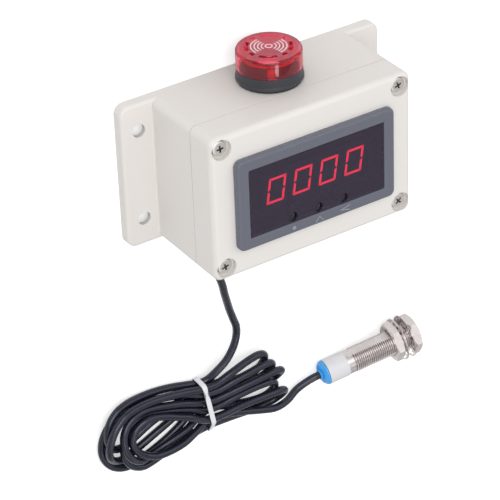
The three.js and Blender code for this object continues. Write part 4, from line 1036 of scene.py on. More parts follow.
@dataclass
class PhotoStudio:
    """Camera, floor, backdrop and lamps of the photograph."""

    eye: Point = (-0.51223, 0.55023, 0.81488)
    right: Point = (0.8345, -0.0343, 0.5487)
    up: Point = (0.31926, 0.84322, -0.4325)
    lens: float = 185.05
    floor_size: float = 3.0
    floor_colour: Colour = (0.8, 0.8, 0.8)
    floor_glow: float = 0.5
    world_light: float = 0.6
    room_low: float = 0.16
    room_high: float = 0.95
    room_patch: float = 0.35
    key_at: Point = (-0.5, 0.62, 1.15)
    key_power: float = 9.0
    key_size: float = 1.2
    fill_at: Point = (0.9, 0.5, 0.8)
    fill_power: float = 3.0
    glint_at: Point = (-0.144, -0.57, 1.15)
    glint_power: float = 0.7
    glint_size: float = 0.22

    def build(self) -> None:
        """Sets up the whole studio."""
        self.camera()
        self.floor()
        self.world()
        self.lamps()
        bpy.context.scene.view_settings.view_transform = "Standard"
        LOG.info("studio: camera, floor, world and lamps")

    def camera(self) -> None:
        """Places the camera where the photograph was taken from."""
        data = bpy.data.cameras.new("photo_camera")
        data.lens = self.lens
        data.sensor_width = 36.0
        data.clip_end = 20.0
        camera = bpy.data.objects.new("photo_camera", data)
        right, up = Vector(self.right).normalized(), Vector(self.up).normalized()
        back = right.cross(up).normalized()
        up = back.cross(right)
        turn = Matrix((right, up, back)).transposed().to_4x4()
        camera.matrix_world = Matrix.Translation(self.eye) @ turn
        bpy.context.scene.collection.objects.link(camera)
        bpy.context.scene.camera = camera

    def floor(self) -> None:
        """Lays the pale floor, which looks white and keeps the object's shadow."""
        Bench.clear()
        bpy.ops.mesh.primitive_plane_add(size=self.floor_size)
        floor = Bench.named("floor")
        Bench.edit(floor)
        bpy.ops.mesh.subdivide(number_cuts=4)
        Bench.clear()
        shader = Shader("floor_paper", {"Roughness": 0.9, "Specular IOR Level": 0.1})
        values = {"Vector": shader.place, "Scale": 60.0, "Detail": 3.0}
        fibres = shader.add("ShaderNodeTexNoise", values)
        lighter = tuple(part * 1.03 for part in self.floor_colour)
        colour = shader.blend(fibres.outputs[0], rgba(self.floor_colour), rgba(lighter))
        shader.into("Base Color", colour)
        seen = shader.add("ShaderNodeLightPath").outputs
        share = shader.math("MAXIMUM", seen["Is Camera Ray"], seen["Is Transmission Ray"])
        glow = shader.add("ShaderNodeEmission", {"Strength": self.floor_glow})
        clear = shader.add("ShaderNodeEmission", {"Strength": 0.0})
        extra = shader.add("ShaderNodeMixShader", {0: share})
        shader.feed(extra.inputs[1], clear.outputs[0])
        shader.feed(extra.inputs[2], glow.outputs[0])
        both = shader.add("ShaderNodeAddShader")
        shader.feed(both.inputs[0], shader.surface.outputs[0])
        shader.feed(both.inputs[1], extra.outputs[0])
        output = shader.tree.nodes["Material Output"]
        shader.feed(output.inputs["Surface"], both.outputs[0])
        floor.data.materials.append(shader.material)

    def world(self) -> None:
        """Lights the object softly from all round, and shows white."""
        world = bpy.data.worlds.new("studio_world")
        world.use_nodes = True
        bpy.context.scene.world = world
        desk = NodeDesk(world.node_tree)
        light = world.node_tree.nodes["Background"]
        light.inputs["Color"].default_value = (1.0, 1.0, 1.0, 1.0)
        white = desk.add("ShaderNodeBackground", {"Strength": 1.0})
        white.inputs["Color"].default_value = (1.0, 1.0, 1.0, 1.0)
        seen = desk.add("ShaderNodeLightPath").outputs
        share = desk.math("MAXIMUM", seen["Is Camera Ray"], seen["Is Transmission Ray"])
        way = desk.add("ShaderNodeTexCoord").outputs["Generated"]
        rise = desk.add("ShaderNodeSeparateXYZ", {0: way}).outputs[2]
        bands = desk.add("ShaderNodeTexNoise", {"Vector": way, "Scale": 2.2, "Detail": 1.0})
        room = desk.spread(rise, -0.1, 0.8, self.room_low, self.room_high)
        patch = desk.spread(bands.outputs[0], 0.42, 0.58, self.room_patch, 1.0)
        mirrored = desk.math("MULTIPLY", room, patch)
        shiny = desk.math("MULTIPLY", seen["Is Glossy Ray"], mirrored)
        matt = desk.math("SUBTRACT", 1.0, seen["Is Glossy Ray"])
        matt = desk.math("MULTIPLY", matt, self.world_light)
        desk.feed(light.inputs["Strength"], desk.math("ADD", matt, shiny))
        mixed = desk.add("ShaderNodeMixShader", {0: share})
        desk.feed(mixed.inputs[1], light.outputs[0])
        desk.feed(mixed.inputs[2], white.outputs[0])
        output = world.node_tree.nodes["World Output"]
        desk.feed(output.inputs["Surface"], mixed.outputs[0])

    def lamps(self) -> None:
        """Hangs a large soft key light, a weaker fill and a small glint."""
        self.lamp("key_light", self.key_at, self.key_size, self.key_power)
        self.lamp("fill_light", self.fill_at, self.key_size, self.fill_power)
        self.lamp("glint_light", self.glint_at, self.glint_size, self.glint_power)

    def lamp(self, name: str, at: Point, size: float, power: float) -> None:
        """Hangs one square lamp that faces the object.

        Args:
            name: The lamp's name.
            at: Where it hangs.
            size: Its side.
            power: Its power in watts.
        """
        data = bpy.data.lights.new(name, "AREA")
        data.size = size
        data.energy = power
        lamp = bpy.data.objects.new(name, data)
        lamp.location = at
        lamp.rotation_euler = (-Vector(at)).to_track_quat("-Z", "Y").to_euler()
        bpy.context.scene.collection.objects.link(lamp)


# Cable


@dataclass
class SignalCable:
    """Cable from the enclosure's grommet through a tied hank to the sensor."""

    palette: Palette
    radius: float = 0.0018
    exit: Point = (-0.0345, -0.03675, 0.022)
    line_step: float = 0.0008
    tie_at: Pair = (-0.03216, -0.13011)
    tie_slant: float = math.radians(9.87)
    tie_half: float = 0.00115
    tie_thickness: float = 0.0004
    tie_gap: float = 0.00005
    tie_twist: float = 0.0095
    twist_length: float = 0.0021
    twist_share: float = 0.5
    knots: tuple[Point, ...] = (
        (-34.5, -35.5, 22), (-34.5, -36.75, 22), (-34.5, -38.6, 22), (-34.2, -43.5, 22),
        (-31.82, -51.04, 21.6), (-28.95, -58.19, 19.9), (-26.44, -65.19, 17.3),
        (-23.65, -72.09, 14.5), (-20.82, -78.91, 11.7), (-17.88, -85.9, 9.5), (-15.52, -91.86, 8),
        (-14.91, -97.25, 6.9), (-16.51, -102.32, 7), (-20.64, -108.64, 6.9),
        (-25.94, -113.83, 5.8), (-30.01, -117.35, 4.3), (-33.02, -117.99, 3.6),
        (-36.12, -117.63, 3.1), (-40.4, -116.75, 2.7), (-48.17, -115.1, 2.3),
        (-56.15, -113.94, 2.3), (-64.04, -113.38, 2.8), (-71.14, -113.44, 3.7),
        (-77.17, -115.03, 4.7), (-81.56, -119.24, 5.5), (-83.28, -125.61, 5.9),
        (-81.9, -131.74, 5), (-79.17, -135.09, 3.2), (-76.6, -136.74, 2.2), (-73.51, -137, 1.9),
        (-70.48, -135.96, 1.9), (-67.66, -134.52, 1.9), (-60.58, -130.86, 1.9),
        (-53.12, -127.9, 1.9), (-45.47, -125.45, 1.9), (-37.83, -123.2, 2.2),
        (-29.99, -121.66, 2.7), (-22.12, -122.81, 2.6), (-14.35, -124.66, 2.3),
        (-8.77, -125.47, 2), (-3.96, -125.47, 1.9), (-1.14, -124.12, 2), (0.61, -121.56, 2.8),
        (1.17, -118.67, 4), (0.23, -115.35, 5.6), (-1.83, -113.31, 6.7), (-4.81, -112.55, 7.3),
        (-8.02, -112.89, 7.5), (-12.04, -113.81, 7.7), (-19.68, -116.06, 8), (-27.23, -118.51, 8),
        (-35.23, -118.25, 8), (-43.1, -116.7, 7.7), (-50.98, -115.64, 7.2), (-58.97, -114.88, 7),
        (-66.86, -114.63, 7.5), (-74.59, -115.68, 8.5), (-80.78, -120.16, 9.6),
        (-84.21, -127.09, 9.7), (-83.86, -134.4, 7.7), (-80.95, -139.46, 5.1),
        (-76.72, -142.74, 2.9), (-73.23, -143.21, 2.2), (-69.71, -142.18, 1.9),
        (-65.37, -140.46, 1.9), (-58.1, -137.11, 2), (-50.74, -133.95, 1.9), (-43.57, -130.39, 2),
        (-36.3, -127.13, 2.3), (-28.47, -125.69, 2.5), (-20.71, -127.44, 2.2),
        (-12.84, -128.99, 2), (-6.45, -129.72, 1.9), (-0.85, -129.63, 1.9), (1.98, -128.39, 2.4),
        (3.63, -126.02, 3.7), (4.18, -123.23, 5.3), (3.14, -120.21, 7.2), (0.98, -118.36, 8.5),
        (-2.11, -117.8, 9.1), (-5.32, -118.04, 9.1), (-10.14, -118.95, 9), (-17.97, -120.49, 8.4),
        (-25.71, -122.44, 7.6), (-33.61, -122.38, 6.5), (-41.17, -120.04, 5.3),
        (-48.84, -118.68, 3.9), (-56.82, -117.83, 3), (-64.72, -117.37, 2.4),
        (-72.64, -118.32, 2.1), (-79.42, -122.48, 1.9), (-83.65, -129.2, 1.9),
        (-84.41, -137.09, 1.9), (-81.14, -143.95, 1.9), (-76.12, -147.65, 1.9),
        (-71.23, -148.65, 1.9), (-66.21, -147.65, 1.9), (-58.56, -145.2, 1.9),
        (-51.2, -142.04, 1.9), (-44.32, -138.08, 1.9), (-38.02, -133.1, 2.1),
        (-31.76, -129.92, 2.6), (-25.46, -130.25, 2.6), (-18.3, -132.19, 2.4),
        (-10.42, -133.44, 2.1), (-2.43, -133.9, 1.9), (3.17, -133.71, 1.9), (6.1, -132.57, 2.4),
        (7.84, -130.5, 3.9), (8.39, -128.01, 5.8), (7.54, -125.19, 8.1), (5.38, -123.45, 9.6),
        (2.29, -122.79, 10.2), (-0.92, -123.03, 10.2), (-5.73, -123.63, 9.9),
        (-13.56, -124.88, 9.1), (-21.29, -126.43, 8), (-29.21, -127.47, 7),
        (-36.88, -125.72, 6.9), (-44.32, -122.67, 7.1), (-52.08, -120.72, 6.7),
        (-59.85, -119.07, 6.5), (-67.04, -118.53, 7), (-72.89, -120.81, 7.8),
        (-76.48, -125.64, 8.8), (-77, -131.73, 9.6), (-74.52, -137.88, 9.8),
        (-70.41, -142.36, 8.6), (-66.65, -144.34, 7), (-62.34, -144.12, 5.9),
        (-57.42, -143.02, 5.5), (-49.77, -140.77, 5.8), (-42.13, -138.52, 5.5),
        (-35.07, -135.56, 3.8), (-27.55, -134.81, 2.5), (-20.19, -136.85, 2.1),
        (-12.53, -139, 1.9), (-5.76, -140.44, 1.9), (-0.27, -140.84, 2.1), (2.65, -139.8, 2.8),
        (4.4, -137.53, 4.1), (5.05, -134.85, 5.6), (4.22, -131.63, 7.3), (2.16, -129.39, 8.3),
        (-0.82, -128.53, 8.7), (-4.02, -128.47, 8.6), (-9.03, -128.77, 8.3),
        (-16.95, -129.81, 7.8), (-24.79, -131.46, 7.1), (-32.5, -131.81, 6.5),
        (-39.34, -128.87, 6.2), (-46.78, -126.03, 5.8), (-54.55, -123.97, 5.3),
        (-61.62, -122.63, 5), (-67.94, -123.61, 5), (-72.92, -127.71, 5.4),
        (-75.55, -134.36, 5.8), (-74.99, -141.17, 6.2), (-71.58, -146.04, 6.3),
        (-66.53, -148.54, 6), (-61.03, -148.45, 5.3), (-53.2, -147.1, 4.2),
        (-45.37, -145.66, 3.5), (-37.63, -143.71, 3.8), (-29.71, -142.66, 4),
        (-21.83, -143.72, 2.9), (-14.05, -144.87, 2), (-6.06, -145.53, 1.9),
        (-0.16, -145.75, 1.9), (5.35, -145.25, 2.1), (7.98, -143.71, 3), (9.42, -141.43, 4.6),
        (9.68, -138.74, 6.7), (8.42, -136.31, 8.6), (5.95, -134.76, 9.8), (2.76, -134.4, 10.2),
        (-0.44, -134.24, 10.2), (-8.44, -134.38, 9.8), (-16.35, -134.93, 9.2),
        (-24.28, -136.07, 8.6), (-31.38, -136.33, 8.2), (-36.94, -133.82, 8.7),
        (-42.16, -130.12, 9.3), (-49.3, -126.58, 9.4), (-56.53, -123.33, 9.3),
        (-63.2, -121.8, 9.3), (-68.43, -123.3, 9.2), (-71.8, -126.53, 9.3),
        (-72.79, -130.92, 9.3), (-71.47, -135.24, 9.3), (-67.95, -139.31, 9.4),
        (-61.22, -142.95, 9.5), (-53.83, -143.49, 9.4), (-45.91, -142.75, 8.7),
        (-38.37, -140.79, 6.9), (-31.83, -138.72, 5.1), (-25.63, -139.18, 4.7),
        (-18.84, -140.21, 5), (-11.03, -141.99, 5.6), (-3.21, -144.14, 6.4), (4.62, -146.03, 6.8),
        (12.06, -146.14, 5.1), (18.79, -143.39, 3.5), (24.5, -140.6, 4.4), (28.13, -139.05, 5.44),
        (29.9, -138.8, 5.64), (30.79, -138.68, 5.74),
    )

    def build(self) -> None:
        """Makes the cable, its tie and its grommet."""
        line = self.route()
        tie = self.tie(line)
        self.grommet()
        self.cord(line)

    def route(self) -> list[Vector]:
        """Whole route of the cable, from inside the grommet to inside the sensor's cap."""
        return smooth_line([Vector(knot) * 0.001 for knot in self.knots], self.line_step)

    def cord(self, line: Sequence[Vector]) -> None:
        """Lays the cable along its route.

        Args:
            line: The route's points.
        """
        data = bpy.data.curves.new("signal_cable", "CURVE")
        data.dimensions = "3D"
        data.bevel_depth = self.radius
        data.bevel_resolution = 4
        data.use_fill_caps = True
        spline = data.splines.new("POLY")
        spline.points.add(len(line) - 1)
        for knot, point in zip(spline.points, line, strict=True):
            knot.co = (*point, 1.0)
        data.materials.append(self.palette["cable_sheath"])
        cable = bpy.data.objects.new("signal_cable", data)
        bpy.context.scene.collection.objects.link(cable)
        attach(cable, Body.HOUSING.value)
        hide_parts("cable_lead", "cable_hank", "cable_tail")

    def wrap(self, line: Sequence[Vector], frame_of_tie: Matrix, stand_off: float) -> list[Pair]:
        """Outline of a band round the strands, seen along the hank.

        Args:
            line: The cable's route.
            frame_of_tie: The tie's frame, X along the hank and Z up.
            stand_off: How far the outline stands off the strands' middles.

        Returns:
            The outline.
        """
        inward = frame_of_tie.inverted()
        turns = [2 * math.pi * i / 32 for i in range(32)]
        ring = [(stand_off * math.cos(a), stand_off * math.sin(a)) for a in turns]
        points = []
        for spot in (inward @ point for point in line):
            if abs(spot.x) < self.tie_half + self.line_step and abs(spot.y) < 0.02:
                points += [(spot.y + y, spot.z + z) for y, z in ring]
        return drawn_round(points, self.line_step)

    def tie(self, line: Sequence[Vector]) -> Piece:
        """Makes the flat tie round the hank's waist, twisted once on top.

        Args:
            line: The cable's route.

        Returns:
            The tie.
        """
        place = Matrix.Translation((*self.tie_at, 0.0)) @ Matrix.Rotation(self.tie_slant, 4, "Z")
        inside, half = self.radius + self.tie_gap, self.tie_half
        outline = self.wrap(line, place, inside + self.tie_thickness)
        tie = Bench.prism("cable_tie_wrap", outline, -half, half)
        outline = self.wrap(line, place, inside)
        Bench.carve(tie, Bench.prism("tie_inside", outline, -half - OVERRUN, half + OVERRUN))
        Bench.edit(tie)
        mesh = bmesh.from_edit_mesh(tie.data)
        for corner in mesh.verts:
            if corner.co.y > 2 * self.radius:
                away = (corner.co.x - self.tie_twist) / self.twist_length
                corner.co.z *= 1.0 - self.twist_share * math.exp(-away * away)
        bmesh.update_edit_mesh(tie.data)
        turn = Matrix.Rotation(math.pi / 2, 4, "Z") @ Matrix.Rotation(math.pi / 2, 4, "X")
        Bench.place(tie, place @ turn)
        return Bench.finish(tie, self.palette["tie_wrap"], Slot.WHITE, ["cable_tie"])

    def grommet(self) -> Piece:
        """Makes the grommet in the lower wall, tapered towards the cable.

        Returns:
            The grommet.
        """
        mm = 0.001
        profile = [(0, -1.95), (4.7, -1.95), (5, -1.7), (5, -0.4), (4.75, -0.15), (3.4, -0.15)]
        profile += [(3.4, 2.65), (4.8, 2.65), (5, 2.85), (4.6, 3.4), (3.5, 4.1), (2.95, 4.5)]
        profile += [(2.9, 4.85), (2.8, 4.95), (1.86, 4.95), (1.86, 2.9), (0, 2.9)]
        grommet = Bench.turned("cable_gland", [(r * mm, h * mm) for r, h in profile], 40)
        place = Matrix.Translation((self.exit[0], -0.034 + 0.0025, self.exit[2]))
        Bench.place(grommet, place @ Matrix.Rotation(math.pi / 2, 4, "X"))
        return Bench.finish(grommet, self.palette["gasket_rubber"], Slot.RUBBER, ["cable_grommet"])


# Enclosure


@dataclass
class Enclosure:
    """Wall enclosure: base with ears, cover and its four screws."""

    palette: Palette
    width: float = 0.1
    height: float = 0.068
    depth: float = 0.05
    wall: float = 0.0025
    floor: float = 0.0025
    front_wall: float = 0.0026
    corner: float = 0.0035
    inside_corner: float = 0.0015
    front_round: float = 0.0025
    seam_low: float = 0.03445
    seam_high: float = 0.03475
    seam_round: float = 0.00018
    ear_reach: float = 0.0155
    ear_depth: float = 0.0055
    ear_plate: float = 0.0022
    ear_skirt: float = 0.002
    ear_corner: float = 0.0045
    ear_inside: float = 0.002
    ear_rib: float = 0.002
    ear_round: float = 0.0014
    ear_hole: float = 0.003
    ear_inset: float = 0.007
    ear_spread: float = 0.0426
    cove: float = 0.0009
    lip: float = 0.0012
    lip_top: float = 0.03645
    lip_gap: float = 0.0002
    post_x: float = 0.0444
    post_y: float = 0.0283
    post_radius: float = 0.0058
    lower_post: float = 0.0046
    post_head: float = 0.005
    insert_room: Pair = (0.0028, 0.026)
    seat_radius: float = 0.0046
    seat_depth: float = 0.0026
    screw_hole: float = 0.0018
    gasket_room: float = 0.0016
    lamp_at: Pair = (-0.0007, 0.0197)
    lamp_hole: float = 0.0112
    cable_at: Pair = (-0.0345, 0.022)
    cable_hole: float = 0.0037
    window: Pair = (0.076, 0.039)
    screw_tip: float = 0.02945
    screw_head: float = 0.00125
    screw_rim: float = 0.0035
    screw_shank: float = 0.00145
    recess_arm: float = 0.00165
    recess_width: float = 0.00085
    recess_depth: float = 0.001
    screw_turns: tuple[float, ...] = (0.1, 0.35, 0.25, 0.75)

    def build(self) -> None:
        """Makes the base, the cover and the screws."""
        self.base()
        self.cover()
        self.screws()

    def posts(self, radius: float, low: float, high: float) -> Piece:
        """Makes the four corner posts, each filled outwards to its corner.

        Args:
            radius: The posts' radius.
            low: Where they start.
            high: Where they end.

        Returns:
            The posts as one object.
        """
        made = []
        for x, y in ((1, 1), (-1, 1), (-1, -1), (1, -1)):
            outline = []
            for i in range(25):
                angle = math.pi / 2 + 1.5 * math.pi * i / 24
                outline.append((radius * math.cos(angle), radius * math.sin(angle)))
            outline.append((radius, radius))
            placed = [(x * (px + self.post_x), y * (py + self.post_y)) for px, py in outline]
            if x * y < 0:
                placed.reverse()
            made.append(Bench.prism("post", placed, low, high))
        return Bench.gather(made, "posts")

    def across(self, radius: float, at: Pair, low: float, high: float) -> Piece:
        """Makes a round tool along Y.

        Args:
            radius: Its radius.
            at: Its middle in X and Z.
            low: Where it starts along Y.
            high: Where it ends.

        Returns:
            The tool.
        """
        tool = Bench.rod("across", radius, -high, -low, 64)
        turn = Matrix.Rotation(math.pi / 2, 4, "X")
        return Bench.place(tool, Matrix.Translation((at[0], 0.0, at[1])) @ turn)

    def base(self) -> None:
        """Makes the base with its ears, lip, posts and holes."""
        top = self.seam_low
        outline = rounded(self.width, self.height, self.corner, 10)
        base = Bench.prism("enclosure_base_shell", outline, 0.0, top)
        Bench.soften(base, lambda a, b: min(a.z, b.z) > top - WELD, self.seam_round, 2)
        wide = self.width + 2 * self.ear_reach
        ears = Bench.prism("ears", rounded(wide, self.height, self.ear_corner, 10), 0, self.ear_depth)
        front = self.ear_depth - WELD
        Bench.soften(ears, lambda a, b: min(a.z, b.z) > front, self.ear_round, 4)
        for side in (-1, 1):
            Bench.carve(ears, self.cove_strip(side), "UNION")
        Bench.carve(base, ears, "UNION")
        lip_size = (self.width - 2 * self.wall + 2 * self.lip, self.height - 2 * self.wall + 2 * self.lip)
        lip = Bench.prism("lip", rounded(*lip_size, self.inside_corner + self.lip), self.floor, self.lip_top)
        Bench.carve(base, lip, "UNION")
        inside = (self.width - 2 * self.wall, self.height - 2 * self.wall, self.inside_corner)
        room = Bench.prism("room", rounded(*inside), self.floor, self.lip_top + OVERRUN)
        Bench.carve(room, self.posts(self.lower_post, 0.0, top))
        wide_post = self.post_radius + self.lip_gap + self.lip
        Bench.carve(room, self.posts(wide_post, top - self.post_head, self.lip_top + 2 * OVERRUN))
        Bench.carve(base, room)
        Bench.carve(base, self.posts(self.post_radius + self.lip_gap, top, self.lip_top + OVERRUN))
        tools = []
        pocket_width = self.ear_reach - self.ear_skirt
        pocket_height = (self.height - 2 * self.ear_skirt - self.ear_rib) / 2
        for side in (-1, 1):
            for end in (-1, 1):
                x = side * (self.width / 2 + pocket_width / 2)
                y = end * (pocket_height + self.ear_rib) / 2
                outline = rounded(pocket_width, pocket_height, self.ear_inside)
                placed = [(x + px, y + py) for px, py in outline]
                tools.append(Bench.prism("pocket", placed, -OVERRUN, self.ear_depth - self.ear_plate))
        Bench.carve(base, Bench.gather(tools, "pockets"))
        tools = []
        for side in (-1, 1):
            for end in (-1, 1):
                at = (side * (self.width / 2 + self.ear_inset), end * self.ear_spread / 2)
                tools.append(Bench.rod("hole", self.ear_hole, 0.001, self.ear_depth + OVERRUN, 48, at))
                radius, low = self.insert_room
                at = (side * self.post_x, end * self.post_y)
                tools.append(Bench.rod("hole", radius, low, top + OVERRUN, 40, at))
        inner, outer = self.height / 2 - self.wall - OVERRUN, self.height / 2 + OVERRUN
        tools.append(self.across(self.lamp_hole, self.lamp_at, inner, outer))
        tools.append(self.across(self.cable_hole, self.cable_at, -outer, -inner))
        Bench.carve(base, Bench.gather(tools, "holes"))

        def hole_rim(a: Vector, b: Vector) -> bool:
            """Picks the front rims of the ears' holes.

            Args:
                a: One end of an edge.
                b: Its other end.

            Returns:
                Whether the edge is picked.
            """
            x, y = self.width / 2 + self.ear_inset, self.ear_spread / 2
            near = all(
                abs(math.hypot(abs(p.x) - x, abs(p.y) - y) - self.ear_hole) < 2e-5 for p in (a, b)
            )
            return near and min(a.z, b.z) > self.ear_depth - 2e-5

        Bench.soften(base, hole_rim, 0.0003, 2)
        Bench.finish(base, self.palette["housing_plastic"], Slot.HOUSING, ["enclosure_base"])

    def cove_strip(self, side: int) -> Piece:
        """Makes the small fillet where an ear meets the box.

        Args:
            side: -1 for the left ear and 1 for the right one.

        Returns:
            The fillet.
        """
        turns = [math.pi + math.pi / 2 * i / 6 for i in range(7)]
        outline = [(-0.0005, -0.0005)]
        reach = self.cove
        outline += [(-0.0005, reach)]
        outline += [(reach + reach * math.cos(a), reach + reach * math.sin(a)) for a in turns]
        outline += [(reach, -0.0005)]
        half = self.height / 2 - self.corner
        strip = Bench.prism("cove", outline, -half, half)
        place = Matrix.Translation((side * self.width / 2, 0.0, self.ear_depth))
        flip = Matrix.Diagonal((side, 1.0, 1.0, 1.0))
        Bench.place(strip, place @ flip @ Matrix.Rotation(math.pi / 2, 4, "X"))
        Bench.edit(strip)
        Bench.tidy_shell()
        Bench.clear()
        return strip

    def cover(self) -> None:
        """Makes the cover with its rounded front, counterbores and cut-out."""
        low, high = self.seam_high, self.depth
        outline = rounded(self.width, self.height, self.corner, 10)
        cover = Bench.prism("enclosure_cover_shell", outline, low, high)
        Bench.soften(cover, lambda a, b: min(a.z, b.z) > high - WELD, self.front_round, 8)
        Bench.soften(cover, lambda a, b: max(a.z, b.z) < low + WELD, self.seam_round, 2)
        inside = (self.width - 2 * self.wall, self.height - 2 * self.wall, self.inside_corner)
        room = Bench.prism("room", rounded(*inside), 0.0, high - self.front_wall)
        Bench.carve(room, self.posts(self.post_radius, -OVERRUN, high))
        Bench.carve(cover, room)
        grown = 2 * (self.lip + self.lip_gap - self.wall)
        step = (self.width + grown, self.height + grown, self.inside_corner + self.lip + self.lip_gap)
        rebate = Bench.prism("rebate", rounded(*step), 0.0, self.lip_top + self.gasket_room)
        Bench.carve(rebate, self.posts(self.post_radius, -OVERRUN, high))
        Bench.carve(cover, rebate)
        wide, tall = self.window
        tools = [Bench.prism("opening", rounded(wide, tall, 0.0002, 2), low, high + OVERRUN)]
        for x, y in ((1, 1), (-1, 1), (-1, -1), (1, -1)):
            at = (x * self.post_x, y * self.post_y)
            tools.append(Bench.rod("seat", self.seat_radius, high - self.seat_depth, high + OVERRUN, 56, at))
        Bench.carve(cover, Bench.gather(tools, "tools"))
        tools = []
        for x, y in ((1, 1), (-1, 1), (-1, -1), (1, -1)):
            at = (x * self.post_x, y * self.post_y)
            tools.append(Bench.rod("shaft", self.screw_hole, 0.0, high - SEAT_GAP, 32, at))
        Bench.carve(cover, Bench.gather(tools, "shafts"))

        def seat_rim(a: Vector, b: Vector) -> bool:
            """Picks the rims of the screws' counterbores.

            Args:
                a: One end of an edge.
                b: Its other end.

            Returns:
                Whether the edge is picked.
            """
            near = all(
                abs(math.hypot(abs(p.x) - self.post_x, abs(p.y) - self.post_y) - self.seat_radius)
                < 2e-5
                for p in (a, b)
            )
            return near and min(a.z, b.z) > high - 2e-5

        Bench.soften(cover, seat_rim, 0.0003, 3)
        Bench.finish(cover, self.palette["housing_plastic"], Slot.HOUSING, ["enclosure_cover"])

    def screws(self) -> None:
        """Makes one cross-recess screw and copies it to the four corners."""
        seat = self.depth - self.seat_depth + SURFACE_GAP
        tip, head, rim, shank = self.screw_tip, self.screw_head, self.screw_rim, self.screw_shank
        profile = [(0.0, tip), (0.0010, tip), (shank, tip + 0.001)]
        crest = tip + 0.0012
        while crest < seat - 0.007:
            profile += [(shank, crest), (shank - 0.00035, crest + 0.0005), (shank, crest + 0.001)]
            crest += 0.0011
        profile += [(shank, seat), (rim - 0.0001, seat), (rim, seat + 0.0001)]
        shoulder, rise = seat + 0.4 * head, 0.6 * head - 0.00008
        for i in range(7):
            angle = math.pi / 2 * i / 6
            profile.append((rim - 0.0009 * (1 - math.cos(angle)), shoulder + rise * math.sin(angle)))
        top = seat + head
        profile += [(0.0012, top - 0.00001), (0.0, top)]
        pattern = Bench.turned("pattern", profile, 48)
        long, wide, deep = self.recess_arm, self.recess_width / 2, self.recess_depth
        first = Bench.block("arm", (-long, -wide, top - deep), (long, wide, top + OVERRUN))
        other = Bench.block("arm", (-wide, -long, top - deep), (wide, long, top + OVERRUN))
        hollow = Bench.carve(first, other, "UNION")
        well = Bench.rod("well", 0.7 * long, top - 0.9 * deep, top + OVERRUN, 20)
        Bench.carve(hollow, Bench.carve(well, Bench.copy(hollow, "same"), "INTERSECT"), "UNION")
        Bench.carve(pattern, hollow)

        def recess_rim(a: Vector, b: Vector) -> bool:
            """Picks the recess's upper rim."""
            return min(a.z, b.z) > top - 0.0002 and max(a.xy.length, b.xy.length) < long + 0.0002

        Bench.soften(pattern, recess_rim, 0.00006, 1)
        for i, (x, y) in enumerate([(-1, 1), (1, 1), (-1, -1), (1, -1)]):
            one = Bench.copy(pattern, f"cover_screw_pan_{i + 1}")
            centre = Vector((x * self.post_x, y * self.post_y, 0.0))
            turn = Matrix.Rotation(self.screw_turns[i], 4, "Z")
            Bench.place(one, Matrix.Translation(centre) @ turn)
            Bench.finish(one, self.palette["screw_steel"], Slot.STEEL, [f"cover_screw_{i + 1}"])

            def painted_shade_faces(at: Vector, normal: Vector, centre: Vector = centre) -> bool:
                """Picks the faces of the recess and the head's lower rim, which get painted shade.

                Args:
                    at: The face's middle.
                    normal: Its normal.
                    centre: The screw's axis.

                Returns:
                    Whether the face is picked.
                """
                reach = (at.xy - centre.xy).length
                inner = reach < long + 0.0001 and top - deep - 0.0002 < at.z < top - 0.00012
                return inner or (reach > rim - 0.00012 and at.z < shoulder + 0.3 * rise)

            # Painted shade: darker steel in the cross recess and under the head's rim.
            Bench.paint(one, self.palette["recess_steel"], painted_shade_faces)
        bpy.data.objects.remove(pattern)


# Panel meter


